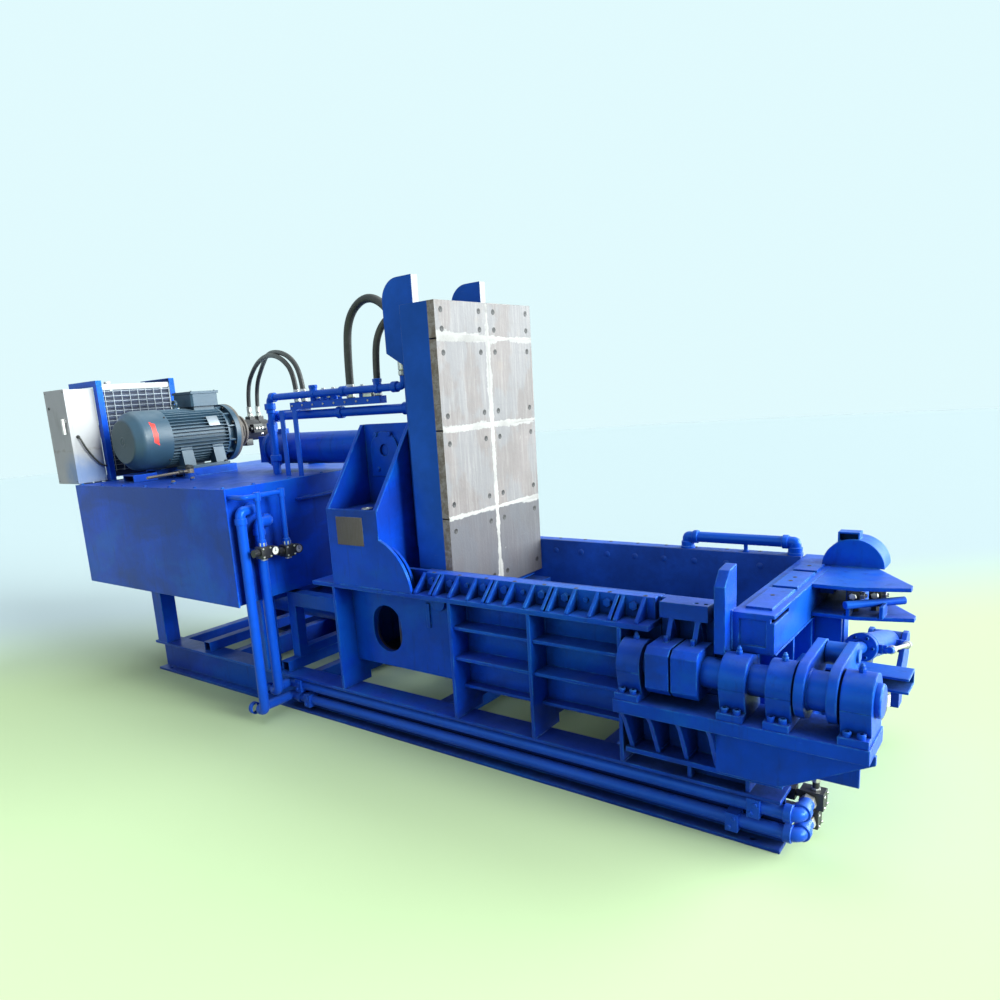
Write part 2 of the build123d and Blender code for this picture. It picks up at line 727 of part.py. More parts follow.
with BuildPart() as main_barrel:
    bar_x((barrel_back, barrel_front - 30), 0, main_z, main_barrel_radius)
    bar_x((barrel_front - 60, barrel_front), 0, main_z, main_barrel_radius + 22)
    bar_x((barrel_back - 30, barrel_back + 20), 0, main_z, main_barrel_radius + 4)
    bar_x((barrel_back + 30, barrel_front - 60), 0, main_z, main_bore, mode=Mode.SUBTRACT)
    bar_x((barrel_front - 60, barrel_front), 0, main_z, rod_radius + 0.05, mode=Mode.SUBTRACT)
save(main_barrel, "main_barrel")

# Main cylinder supports: a cross tube with a saddle, and channels from the portal
saddle_x = -700
support_height = 560
with BuildPart() as cylinder_supports:
    for side in sides:
        block((saddle_x, portal_x - leg_thickness), (side * (wall_out - 60), side * wall_out), (support_height, support_height + 80))
        block((saddle_x, portal_x - leg_thickness), (side * (wall_out - 60), side * (wall_out - 8)),
              (support_height + 8, support_height + 72), mode=Mode.SUBTRACT)
        block((saddle_x, saddle_x + 60), (side * (wall_out - 60), side * wall_out), (beam_height + tube_size, support_height))
    block((saddle_x, saddle_x + 60), (-wall_out, wall_out), (beam_height + tube_size, beam_height + tube_size + 50))
    block((saddle_x, saddle_x + 60), (-90, 90), (beam_height + tube_size + 50, main_z - 60))
    bar_x((saddle_x, saddle_x + 60), 0, main_z, main_barrel_radius, mode=Mode.SUBTRACT)
save(cylinder_supports, "cylinder_supports")

# Lid frame: a shallow welded box with the hinge barrel at its foot and ribs on its back
lid_half = inner - lid_side_gap
lid_front = hinge_x + wear_plate_lead - wear_plate_thickness
lid_back = lid_front - lid_depth
lid_bottom = hinge_z - lid_foot
lid_top = hinge_z + lid_length
lug_start = lid_eye_width / 2 + 5
lug_plate = 25
with BuildPart() as lid_frame:
    block((lid_back, lid_front), (-lid_half, lid_half), (lid_bottom, lid_top))
    block((lid_back + 12, lid_front - 20), (-lid_half + 16, lid_half - 16), (lid_bottom + 90, lid_top - 20),
          mode=Mode.SUBTRACT)
    for z in (1150, 1640):
        block((lid_back + 12, lid_front - 20), (-lid_half + 16, lid_half - 16), (z, z + 16))
    bar_y(hinge_x, (-lid_half, lid_half), hinge_z, hinge_barrel_radius)
    block((hinge_x, hinge_x + 60), (-lid_half, lid_half), (hinge_z - 60, hinge_z + 60), mode=Mode.SUBTRACT)
    bar_y(hinge_x, (-lid_half, lid_half), hinge_z, hinge_pin_radius + 0.05, mode=Mode.SUBTRACT)
    for side in sides:
        y = side * lug_start
        with BuildSketch(Plane.XZ.offset(-max(y, y + side * lug_plate))):
            with Locations((lid_eye_x, trunnion_z)):
                Circle(60)
            with BuildLine():
                Polyline((lid_eye_x, trunnion_z + 60), (lid_back, trunnion_z + 130), (lid_back, trunnion_z - 130),
                         (lid_eye_x, trunnion_z - 60), close=True)
            make_face()
        extrude(amount=lug_plate)
        bar_y(lid_eye_x, (y, y + side * (lug_plate + 10)), trunnion_z, lid_eye_pin)
save(lid_frame, "lid_frame")

# Lid wear plates: rows of equal plates from the foot, and a low row above them
columns = 2
full_rows = 3
row_share = 0.29
plate_gap = 6
wear_width = (2 * lid_half - (columns - 1) * plate_gap) / columns
wear_height = row_share * (lid_length + lid_foot)
wear_face = lid_front + wear_plate_thickness
row_starts = [lid_bottom + row * (wear_height + plate_gap) for row in range(full_rows + 1)]
row_ends = [start + wear_height for start in row_starts[:-1]] + [lid_top]
with BuildPart() as lid_wear_plates:
    for column in range(columns):
        y0 = -lid_half + column * (wear_width + plate_gap)
        for z0, z1 in zip(row_starts, row_ends):
            block((lid_front, wear_face), (y0, y0 + wear_width), (z0, z1))
    bar_y(hinge_x, (-lid_half, lid_half), hinge_z, hinge_pin_radius + 0.05, mode=Mode.SUBTRACT)
save(lid_wear_plates, "lid_wear_plates")

# Horns: rib plates along the lid's back that come to rest on the end beam
horn_top = hinge_z + horn_reach
horn_low = lid_bottom + 120
with BuildPart() as lid_horns:
    for side in sides:
        y0 = side * horn_y - horn_thickness / 2
        with BuildSketch(Plane.XZ.offset(-(y0 + horn_thickness))):
            with BuildLine():
                Polyline((lid_back, horn_low), (lid_back, horn_top), (lid_back - horn_width, horn_top),
                         (lid_back - horn_width, 1860), (lid_back - horn_narrow, 1800), (lid_back - horn_narrow, horn_low + 120),
                         close=True)
            make_face()
            fillet(vertices().filter_by_position(Axis.X, lid_back - horn_width - 1, lid_back - horn_width + 1)
                   .sort_by(Axis.Y)[-1:], horn_corner)
        extrude(amount=horn_thickness)
save(lid_horns, "lid_horns")

# Lid hinge pin through both walls
with BuildPart() as hinge_pin:
    bar_y(hinge_x, (-wall_out - 25, wall_out + 25), hinge_z, hinge_pin_radius)
save(hinge_pin, "lid_hinge_pin")

# Lid cylinder: barrel with trunnion block and end cap, and the rod with its eye
gland_x = trunnion_x + 58
cylinder_back = trunnion_x - lid_cylinder_back
trunnion_half = 105
with BuildPart() as lid_barrel:
    bar_x((cylinder_back, gland_x - 20), 0, trunnion_z, lid_cylinder_radius)
    block((trunnion_x - 60, gland_x - 10), (-trunnion_half, trunnion_half), (trunnion_z - 102, trunnion_z + 102))
    bar_x((gland_x - 10, gland_x), 0, trunnion_z, 70)
    bar_y(trunnion_x, (-tower_bearing_y + 2, tower_bearing_y - 2), trunnion_z, trunnion_radius)
    bar_x((cylinder_back - 30, cylinder_back), 0, trunnion_z, lid_cylinder_radius + 12)
    block((cylinder_back - 90, cylinder_back - 30), (-70, 70), (trunnion_z - 80, trunnion_z + 80))
    bar_x((cylinder_back + 30, gland_x - 60), 0, trunnion_z, lid_bore_radius, mode=Mode.SUBTRACT)
    bar_x((gland_x - 60, gland_x), 0, trunnion_z, lid_rod_radius + 0.05, mode=Mode.SUBTRACT)
    for x in (cylinder_back + 60, trunnion_x - 120):
        block((x - 26, x + 26), (-30, 30), (trunnion_z + lid_cylinder_radius - 12, trunnion_z + lid_cylinder_radius + 26))
save(lid_barrel, "lid_barrel")

with BuildPart() as lid_rod:
    bar_x((cylinder_back + 34, cylinder_back + 84), 0, trunnion_z, lid_bore_radius - 0.5)
    bar_x((cylinder_back + 84, lid_eye_x - 30), 0, trunnion_z, lid_rod_radius)
    bar_y(lid_eye_x, (-lid_eye_width / 2, lid_eye_width / 2), trunnion_z, lid_eye_radius)
    bar_y(lid_eye_x, (-lug_start + 0.4, lug_start - 0.4), trunnion_z, lid_eye_pin)
save(lid_rod, "lid_rod")

# Tank: hollow box with a proud front plate, a cover plate with bolts and a rib on the end face
tank_wall = 6
front_lip = 9
cover = 10
with BuildPart() as tank:
    block((tank_left, tank_right), (-tank_half_width, tank_half_width), (tank_bottom, tank_top - cover))
    block((tank_left + tank_wall, tank_right - tank_wall), (-tank_half_width + tank_wall, tank_half_width - tank_wall),
          (tank_bottom + tank_wall, tank_top - cover), mode=Mode.SUBTRACT)
    block((tank_left, tank_right + front_lip), (-tank_half_width - front_lip, -tank_half_width),
          (tank_bottom - 6, tank_top))
    block((tank_left, tank_right), (-tank_half_width, tank_half_width), (tank_top - cover, tank_top))
    block((tank_right, tank_right + 40), (-350, tank_half_width - 60), (tank_top - 120, tank_top - 110))
    bar_z(valve_x, valve_y, (tank_top, tank_top + 14), 38)
    bar_z(valve_x, valve_y, (tank_top + 14, tank_top + 30), 30)
    bar_z(valve_x, valve_y, (tank_top + 14, tank_top + 31), 8.05, mode=Mode.SUBTRACT)
    for x, y in ((-1320, -650), (-1370, -490)):
        bar_z(x, y, (tank_top, tank_top + 10), 16)
    bar_z(-1250, 380, (tank_top, tank_top + 60), 55)
    bar_z(-1250, 380, (tank_top + 60, tank_top + 74), 64)
save(tank, "oil_tank")

# Tank stand: four channel posts with foot plates and two cross beams
post_stations = (-1930, -890)
post_size = 100
with BuildPart() as tank_stand:
    for x in post_stations:
        for side in sides:
            near = side * (edge - post_size)
            block((x, x + post_size), (near, side * edge), (beam_height, tank_bottom))
            block((x + 8, x + post_size - 8), (near, side * (edge - 8)), (beam_height + 10, tank_bottom),
                  mode=Mode.SUBTRACT)
        block((x, x + 80), (-edge + post_size, edge - post_size), (tank_bottom - 80, tank_bottom))
save(tank_stand, "tank_stand")

# Motor: finned body with feet and drive flange
fin_count = 48
fin_thickness = 5
body_start = motor_front + 208
body_end = motor_front + 693
core_radius = 150
fin_height = 26
flange_start = body_end - 53
flange_end = body_end + 34
foot_bottom = 1315
foot_half = 190
foot_start = body_start + 70
box_start = motor_front + 441
eye_y = motor_front + 374
motor_shaft = 24
with BuildPart() as motor_body:
    bar_y(motor_x, (body_start, body_end), motor_z, core_radius)
    with BuildSketch(Plane.XZ.offset(-flange_start)):
        with Locations((motor_x, motor_z)):
            with PolarLocations(core_radius + fin_height / 2 - 4, fin_count, start_angle=180 / fin_count):
                Rectangle(fin_height + 8, fin_thickness)
    extrude(amount=flange_start - body_start - 24)
    bar_y(motor_x, (flange_start, flange_start + 14), motor_z, core_radius + fin_height - 4)
    with BuildSketch(Plane.XZ.offset(-body_end)):
        with Locations((motor_x, motor_z)):
            with PolarLocations(core_radius + 8, 12, start_angle=15):
                Rectangle(36, 10)
    extrude(amount=body_end - flange_start)
    bar_y(motor_x, (body_end, flange_end), motor_z, 186)
    bar_y(motor_x, (body_start, body_start + 24), motor_z, core_radius + 20)
    for side in sides:
        block((motor_x + side * 95, motor_x + side * foot_half), (foot_start, foot_start + 330), (foot_bottom, foot_bottom + 18))
        for y in (foot_start + 10, foot_start + 240):
            plate_xz((y, y + 80), ((motor_x + side * 175, foot_bottom + 18), (motor_x + side * 110, foot_bottom + 18),
                                   (motor_x + side * 110, motor_z - 60), (motor_x + side * 150, motor_z - 60)))
    block((motor_x - 80, motor_x + 80), (box_start + 25, box_start + 175), (motor_z + core_radius - 20, motor_z + core_radius + 32))
    bar_z(motor_x, eye_y + 7, (motor_z + core_radius, motor_z + core_radius + 38), 14)
    bar_y(motor_x, (eye_y, eye_y + 14), motor_z + core_radius + 54, 25)
    bar_y(motor_x, (eye_y, eye_y + 14), motor_z + core_radius + 54, 13, mode=Mode.SUBTRACT)
    bar_y(motor_x, (body_start, flange_end), motor_z, motor_shaft + 0.05, mode=Mode.SUBTRACT)
save(motor_body, "motor_body")

# Motor fan cowl with a slotted air inlet
cowl_end = body_start + 24
cowl_radius = 180
cowl_wall = 5
cowl_depth = cowl_end - motor_front
motor_axis = Axis((motor_x, 0, motor_z), (0, 1, 0))
with BuildPart() as motor_cowl:
    with BuildSketch(Plane(origin=(motor_x, motor_front, motor_z), x_dir=(1, 0, 0), z_dir=(0, 0, 1))):
        with BuildLine():
            Polyline((0, 0), (128, 0), (cowl_radius - 8, 48), (cowl_radius, 80), (cowl_radius, cowl_depth),
                     (cowl_radius - cowl_wall, cowl_depth), (cowl_radius - cowl_wall, 82),
                     (cowl_radius - cowl_wall - 8, 52), (125, cowl_wall), (0, cowl_wall), close=True)
        make_face()
    revolve(axis=motor_axis)
    with BuildSketch(Plane(origin=(motor_x, motor_front + cowl_wall + 1, motor_z), x_dir=(1, 0, 0), z_dir=(0, -1, 0))):
        for radius in (52, 80, 106):
            with PolarLocations(radius, 10, start_angle=18 * (radius == 80)):
                Rectangle(14, 24 + (radius - 52) / 4)
    extrude(amount=cowl_wall + 3, mode=Mode.SUBTRACT)
save(motor_cowl, "motor_cowl")

# Terminal box on the motor
box_foot = motor_z + core_radius + 32
with BuildPart() as terminal_box:
    block((motor_x - 104, motor_x + 104), (box_start, box_start + 199), (box_foot, box_foot + 78))
    chamfer(terminal_box.edges().filter_by(Axis.Z), length=12)
    block((motor_x - 107, motor_x + 107), (box_start - 3, box_start + 202), (box_foot + 78, box_foot + 94))
save(terminal_box, "motor_terminal_box")

# Motor rotor: shaft with its cooling fan
with BuildPart() as motor_rotor:
    bar_y(motor_x, (motor_front + 60, flange_end + 100), motor_z, motor_shaft)
    bar_y(motor_x, (motor_front + 70, motor_front + 130), motor_z, 46)
    with BuildSketch(Plane.XZ.offset(-motor_front - 130)):
        with Locations((motor_x, motor_z)):
            with PolarLocations(92, 7):
                Rectangle(110, 6)
    extrude(amount=60)
save(motor_rotor, "motor_rotor")

# Motor rails: two tubes under the feet and a short tube stub under the cowl
rail_span = (foot_start - 35, foot_start + 365)
stub_span = (motor_front + 3, motor_front + 163)
with BuildPart() as motor_rails:
    for side in sides:
        x0 = motor_x + side * 100
        block((x0, x0 + side * 110), rail_span, (tank_top, foot_bottom))
        block((x0 + side * 6, x0 + side * 104), rail_span, (tank_top + 6, foot_bottom - 6), mode=Mode.SUBTRACT)
    block((motor_x - 70, motor_x + 50), stub_span, (tank_top, foot_bottom - 4))
    block((motor_x - 64, motor_x + 44), stub_span, (tank_top + 6, foot_bottom - 10), mode=Mode.SUBTRACT)
save(motor_rails, "motor_rails")

# Bellhousing between motor and pump, with a window in its side
bell_end = flange_end + 122
bell_bore = 28
with BuildPart() as bellhousing:
    with BuildSketch(Plane(origin=(motor_x, 0, motor_z), x_dir=(1, 0, 0), z_dir=(0, 0, 1))):
        with BuildLine():
            Polyline((bell_bore, flange_end), (186, flange_end), (186, flange_end + 18), (150, flange_end + 24),
                     (92, bell_end - 16), (104, bell_end - 12), (104, bell_end), (bell_bore, bell_end),
                     (bell_bore, bell_end - 12), (70, bell_end - 12), (130, flange_end + 16), (bell_bore, flange_end + 16),
                     close=True)
        make_face()
    revolve(axis=motor_axis)
    with BuildSketch(Plane(origin=(motor_x, 0, motor_z), x_dir=(0, 1, 0), z_dir=(1, 0, 0))):
        with Locations((flange_end + 64, 0)):
            Rectangle(40, 70)
    extrude(amount=200, mode=Mode.SUBTRACT)
save(bellhousing, "bellhousing")

# Pump: two sections and an end cover, with port blocks on top
pump_end = bell_end + 244
pump_waist = bell_end + 138
pump_ports = (bell_end + 104, bell_end + 177)
with BuildPart() as pump:
    bar_y(motor_x, (bell_end, pump_waist), motor_z, 72)
    bar_y(motor_x, (pump_waist, pump_waist + 14), motor_z, 58)
    bar_y(motor_x, (pump_waist + 14, pump_end - 20), motor_z, 64)
    bar_y(motor_x, (pump_end - 20, pump_end), motor_z, 46)
    for y in pump_ports:
        block((motor_x - 26, motor_x + 26), (y - 22, y + 22), (motor_z + 40, motor_z + 88))
    bar_y(motor_x, (bell_end - 1, bell_end + 40), motor_z, 27, mode=Mode.SUBTRACT)
save(pump, "pump")

# Oil cooler: core with fins and header, guard wires, frame and fan
core_near = cooler_setback - tank_half_width
core_far = core_near + cooler_width
core_bottom = 1325
core_top = 1835
with BuildPart() as cooler_core:
    block((cooler_x - 70, cooler_x - 12), (core_near, core_far), (core_bottom, core_top))
    for i in range(16):
        z = core_bottom + 16 + i * 32
        block((cooler_x - 12, cooler_x - 4), (core_near + 10, core_far - 10), (z - 5, z + 5))
    block((cooler_x - 76, cooler_x - 6), (core_near - 4, core_far + 4), (core_top, core_top + 36))
    block((cooler_x - 76, cooler_x - 6), (core_near - 4, core_far + 4), (core_bottom - 30, core_bottom))
    bar_z(cooler_x - 41, core_near + 60, (core_top + 36, core_top + 52), 20)
save(cooler_core, "cooler_core")

guard_columns = 9
guard_rows = 17
wire = 3
with BuildPart() as cooler_guard:
    for i in range(guard_columns):
        y = core_near + 8 + i * (core_far - core_near - 16) / (guard_columns - 1)
        block((cooler_x + 2, cooler_x + 2 + wire), (y - wire / 2, y + wire / 2), (core_bottom, core_top))
    for i in range(guard_rows):
        z = core_bottom + 8 + i * (core_top - core_bottom - 16) / (guard_rows - 1)
        block((cooler_x - 1, cooler_x + 2), (core_near, core_far), (z - wire / 2, z + wire / 2))
    for y in (core_near + 60, core_far - 60):
        for z in (core_top - 4, core_bottom + 4):
            block((cooler_x - 12, cooler_x - 1), (y - 8, y + 8), (z - 4, z + 4))
save(cooler_guard, "cooler_guard")

frame_angle = 38
frame_arm = 350
with BuildPart() as cooler_frame:
    for near, side in ((core_near - frame_angle - 2, 1), (core_far + 2, -1)):
        outer = near if side == 1 else near + frame_angle
        block((cooler_x - frame_angle, cooler_x + 5), (near, near + frame_angle), (tank_top, core_top + 60))
        block((cooler_x - frame_angle, cooler_x), (outer + side * 5, outer + side * frame_angle), (tank_top, core_top + 55),
              mode=Mode.SUBTRACT)
        block((cooler_x - frame_arm, cooler_x + 5), (near, near + frame_angle), (core_top + 55, core_top + 60))
        block((cooler_x - frame_arm, cooler_x + 5), (outer, outer + side * 5), (core_top + 22, core_top + 60))
        block((cooler_x - frame_arm, cooler_x - 5), (outer, outer + side * 5), (tank_top, tank_top + 40))
        block((cooler_x - 60, cooler_x + 30), (near, near + frame_angle), (tank_top, tank_top + 5))
    block((cooler_x - 90, cooler_x - 5), (core_near - frame_angle - 2, core_far + frame_angle + 2),
          (core_bottom - 36, core_bottom - 30))
    block((cooler_x - 36, cooler_x - 8), (core_near - 4, core_near), (core_bottom, core_top))
    block((cooler_x - 36, cooler_x - 8), (core_far, core_far + 4), (core_bottom, core_top))
save(cooler_frame, "cooler_frame")

# Cooler fan: shroud with motor and spider, and the bladed wheel
fan_y = (core_near + core_far) / 2
fan_z = (core_bottom + core_top) / 2
fan_radius = 205
shroud_depth = 90
shroud_front = cooler_x - 70
with BuildPart() as fan_shroud:
    block((shroud_front - 6, shroud_front), (core_near, core_far), (core_bottom, core_top))
    bar_x((shroud_front - shroud_depth, shroud_front), fan_y, fan_z, fan_radius + 12)
    bar_x((shroud_front - shroud_depth, shroud_front), fan_y, fan_z, fan_radius + 6, mode=Mode.SUBTRACT)
    bar_x((shroud_front - shroud_depth - 90, shroud_front - shroud_depth + 10), fan_y, fan_z, 60)
    for angle in (45, 135):
        with BuildSketch(Plane.YZ.offset(shroud_front - shroud_depth)):
            with Locations((fan_y, fan_z)):
                Rectangle(2 * fan_radius + 18, 20, rotation=angle)
        extrude(amount=8)
    bar_x((shroud_front - shroud_depth + 10, shroud_front - shroud_depth + 64), fan_y, fan_z, 8.05, mode=Mode.SUBTRACT)
    bar_x((shroud_front - shroud_depth - 20, shroud_front - shroud_depth + 20), fan_y, fan_z, 8.05, mode=Mode.SUBTRACT)
save(fan_shroud, "cooler_fan_shroud")

with BuildPart() as cooler_fan:
    bar_x((shroud_front - 62, shroud_front - 30), fan_y, fan_z, 40)
    with BuildSketch(Plane.YZ.offset(shroud_front - 60)):
        with Locations((fan_y, fan_z)):
            with PolarLocations(fan_radius / 2 + 14, 6):
                Trapezoid(fan_radius - 30, 74, 80)
    extrude(amount=5)
    bar_x((shroud_front - shroud_depth - 18, shroud_front - 40), fan_y, fan_z, 8)
save(cooler_fan, "cooler_fan")

# Control cabinet with its door and handle, bolted to the cooler frame's arms
cabinet_right = cooler_x - 42
cabinet_left = cabinet_right - 258
cabinet_far = core_near - frame_angle - 2
cabinet_near = cabinet_far - 190
cabinet_bottom = 1272
cabinet_top = 1850
sheet = 3
door_gap = 0.3
knuckle = 6
hinge_line_x = cabinet_left - 2 - knuckle
hinge_line_y = cabinet_near + 22
hinge_heights = (cabinet_bottom + 90, cabinet_top - 130)
with BuildPart() as cabinet:
    block((cabinet_left, cabinet_right), (cabinet_near + 22, cabinet_far), (cabinet_bottom, cabinet_top))
    block((cabinet_left + sheet, cabinet_right - sheet), (cabinet_near + 22, cabinet_far - sheet),
          (cabinet_bottom + sheet, cabinet_top - sheet), mode=Mode.SUBTRACT)
    block((cabinet_left + 20, cabinet_right - 20), (cabinet_far - 20, cabinet_far - sheet),
          (cabinet_bottom + 40, cabinet_top - 40))
    for x in (cabinet_left + 70, cabinet_left + 130, cabinet_left + 190):
        bar_z(x, cabinet_near + 110, (cabinet_bottom - 26, cabinet_bottom), 14)
    block((cabinet_left + 10, tank_left), (cabinet_near + 120, cabinet_far - 20), (cabinet_bottom - 40, cabinet_bottom - 34))
    block((cabinet_right - 40, cabinet_right - 34), (cabinet_near + 120, cabinet_far - 20), (cabinet_bottom - 40, cabinet_bottom))
    for z in hinge_heights:
        bar_z(hinge_line_x, hinge_line_y, (z, z + 22), knuckle)
        block((hinge_line_x, cabinet_left + 2), (hinge_line_y + 1, hinge_line_y + knuckle), (z, z + 22))
        bar_z(hinge_line_x, hinge_line_y, (z + 22, z + 44), 3)
save(cabinet, "control_cabinet")

latch_x = cabinet_right - 40
latch_z = 1660
with BuildPart() as cabinet_door:
    block((cabinet_left - 2, cabinet_right + 2), (cabinet_near, cabinet_near + 22 - door_gap),
          (cabinet_bottom - 2, cabinet_top + 2))
    block((cabinet_left + 1, cabinet_right - 1), (cabinet_near + sheet, cabinet_near + 22 - door_gap),
          (cabinet_bottom + 1, cabinet_top - 1), mode=Mode.SUBTRACT)
    for z in hinge_heights:
        bar_z(hinge_line_x, hinge_line_y, (z + 22.3, z + 44), knuckle)
        block((hinge_line_x, cabinet_left + 1), (hinge_line_y - knuckle, hinge_line_y - 1), (z + 22.3, z + 44))
        bar_z(hinge_line_x, hinge_line_y, (z + 22, z + 45), 3.05, mode=Mode.SUBTRACT)
    bar_y(latch_x, (cabinet_near - 6, cabinet_near + sheet), latch_z, 16)
    bar_y(latch_x, (cabinet_near - 6, cabinet_near + sheet), latch_z, 6.05, mode=Mode.SUBTRACT)
save(cabinet_door, "cabinet_door")

with BuildPart() as cabinet_latch:
    bar_y(latch_x, (cabinet_near - 14, cabinet_near + 8), latch_z, 6)
    block((latch_x - 9, latch_x + 9), (cabinet_near - 22, cabinet_near - 8), (latch_z - 80, latch_z + 14))
save(cabinet_latch, "cabinet_latch")

# Long lever of the hand valve on the tank top
lever_end_x = -1425
lever_end_y = -745
with BuildPart() as hand_lever:
    bar_z(valve_x, valve_y, (tank_top + 18, tank_top + 34), 8)
    bar_z(valve_x, valve_y, (tank_top + 31, tank_top + 56), 26)
    reach = Vector(lever_end_x - valve_x, lever_end_y - valve_y, 0)
    with BuildSketch(Plane(origin=(valve_x, valve_y, tank_top + 44), z_dir=reach)):
        Circle(8)
    extrude(amount=reach.length)
save(hand_lever, "hand_valve_lever")

# Valve manifold beside the lid cylinder's swing, on brackets from the tank top
manifold_y = -145
manifold_half = 26
manifold_bottom = 1630
manifold_top = 1668
lower_pipe_z = 1597
upper_pipe_z = 1705
upper_pipe_y = -200
leg_y = -246
valve_ports = (-330, -132)
pump_hose_ends = (-762, -703)
with BuildPart() as valve_manifold:
    block((-800, -100), (manifold_y - manifold_half, manifold_y + manifold_half), (manifold_bottom, manifold_top))
    for x in (-800, -690):
        block((x, x + 34), (leg_y, manifold_y), (manifold_bottom - 8, manifold_bottom))
        block((x, x + 34), (leg_y - 8, leg_y), (tank_top, manifold_bottom))
    for x in (-620, -540, -460, -240):
        bar_z(x, manifold_y, (manifold_top, manifold_top + 22), 22)
    for x in (-585, -500, -415):
        bar_z(x, manifold_y, (manifold_top, manifold_top + 12), 12)
save(valve_manifold, "valve_manifold")

# Header pipes along the manifold, and the hop-over on the far wall's rail
hop_y = wall_in + (wall_thickness + rail_thickness) / 2
hop_start = 1266
hop_end = end_face - 32
hop_top = 905
lower_end = 112
upper_end = 100
with BuildPart() as header_pipes:
    pipe(((-1010, manifold_y, tank_top), (-1010, manifold_y, lower_pipe_z), (lower_end, manifold_y, lower_pipe_z),
          (lower_end, manifold_y, lower_pipe_z + 64)), 24, 38)
    pipe(((-940, upper_pipe_y, tank_top), (-940, upper_pipe_y, upper_pipe_z), (upper_end, upper_pipe_y, upper_pipe_z),
          (upper_end, upper_pipe_y, upper_pipe_z + 50)), 19, 30)
    for x in (-560, -330, -80):
        bar_x((x - 14, x + 14), upper_pipe_y, upper_pipe_z, 24)
    bar_z(-940, upper_pipe_y, (upper_pipe_z - 88, upper_pipe_z - 52), 25)
    bar_z(-1010, manifold_y, (lower_pipe_z - 90, lower_pipe_z - 54), 30)
    pipe(((hop_start, hop_y, wall_top), (hop_start, hop_y, hop_top), (hop_end, hop_y, hop_top),
          (hop_end, hop_y, wall_top)), 20, 30)
    for x in (hop_start, hop_end):
        bar_z(x, hop_y, (wall_top, wall_top + 12), 26)
save(header_pipes, "header_pipes")

# Skid pipes: two runs in the near beam's recess, with risers to the tank and end elbows
skid_pipe_y = -edge + 30
skid_pipe_radius = 26
run_upper = 149
run_lower = 73
riser_x = -580
foot_x = riser_x - 55
elbow_x = 2024
outlet_y = 125 - edge
skid_bend = 27
risers = ((130, 40, 1147, run_lower), (225, 145, 1075, run_upper))
with BuildPart() as skid_pipes:
    for port_inset, riser_inset, port_z, run_z in risers:
        port_y = port_inset - tank_half_width
        riser_y = riser_inset - tank_half_width
        pipe(((tank_right, port_y, port_z), (riser_x, port_y, port_z), (riser_x, riser_y, port_z),
              (riser_x, riser_y, run_z), (foot_x, riser_y, run_z), (foot_x, skid_pipe_y, run_z),
              (elbow_x, skid_pipe_y, run_z), (elbow_x, outlet_y, run_z)), skid_pipe_radius, skid_bend)
        bar_z(riser_x, riser_y, (port_z - 65, port_z - 35), skid_pipe_radius + 6)
save(skid_pipes, "skid_pipes")

# Pipe clamps with two bolts each, at both ends of the skid pipes
with BuildPart() as pipe_clamps:
    for x, z in ((-540, run_upper), (-480, run_lower), (1880, run_upper), (1805, run_lower)):
        block((x - 22, x + 22), (-edge - 6, -beam_y - beam_web / 2), (z - 35, z + 35))
        bar_x((x - 22, x + 22), skid_pipe_y, z, skid_pipe_radius, mode=Mode.SUBTRACT)
        for dx in sides:
            hexagon(Plane(origin=(x + dx * 8, -edge - 6, z + dx * 18), z_dir=(0, -1, 0)), 8, 7)
save(pipe_clamps, "pipe_clamps")

# End valves on the skid pipes' outlets: nut, body, coil and adapter for each
valve_steps = ((run_upper, 16, 30), (run_lower, 0, 6))
with BuildPart() as end_valves:
    for z, shift, rise in valve_steps:
        bar_y(elbow_x, (outlet_y, outlet_y + 26), z, 22)
        block((elbow_x - 32, elbow_x + 32 + shift), (outlet_y + 26, outlet_y + 84), (z - 30, z + 34))
        bar_x((elbow_x - 48, elbow_x - 32), outlet_y + 55, z + 6, 13)
        block((elbow_x - 92, elbow_x - 48), (outlet_y + 32, outlet_y + 78), (z - 16, z + 28))
        bar_z(elbow_x + shift, outlet_y + 55, (z + 34, z + 34 + rise), 12)
    bar_y(elbow_x - 70, (outlet_y + 10, outlet_y + 32), run_lower + 6, 15)
save(end_valves, "end_valves")

# Gauge manifold on the tank's end face: header, drop pipes, gauge valves and gauges
gauge_x = -505
gauge_valves = ((100 - tank_half_width, 935), (255 - tank_half_width, 915))
feed_y = 20 - tank_half_width
feed_z = 1222
with BuildPart() as gauge_manifold:
    pipe(((tank_right, feed_y, feed_z), (gauge_x, feed_y, feed_z), (gauge_x, gauge_valves[1][0], feed_z),
          (gauge_x, gauge_valves[1][0], 960)), 13, 20)
    bar_z(gauge_x, gauge_valves[0][0], (975, feed_z), 13)
    for y, z in gauge_valves:
        bar_z(gauge_x, y, (feed_z - 26, feed_z + 18), 19)
        bar_z(gauge_x, y, (z + 28, z + 62), 20)
        block((gauge_x - 28, gauge_x + 28), (y - 30, y + 30), (z - 32, z + 28))
        bar_x((gauge_x - 52, gauge_x - 28), y, z, 12)
        bar_x((tank_right, gauge_x - 28), y, z - 4, 12)
        bar_y(gauge_x, (y + 30, y + 42), z - 4, 9)
        bar_x((gauge_x - 8, gauge_x + 18), y + 60, z - 4, 24)
    for y, z in gauge_valves:
        bar_y(gauge_x, (y - 30, y - 14), z, 5.05, mode=Mode.SUBTRACT)
save(gauge_manifold, "gauge_manifold")

for name, (y, z) in zip(("gauge_knob_a", "gauge_knob_b"), gauge_valves):
    with BuildPart() as knob:
        bar_y(gauge_x, (y - 38, y - 16), z, 5)
        bar_y(gauge_x, (y - 64, y - 36), z, 20)
    save(knob, name)

# Hoses: each runs whole between two fittings, with a ferrule crimped on both ends
ferrule_length = 70


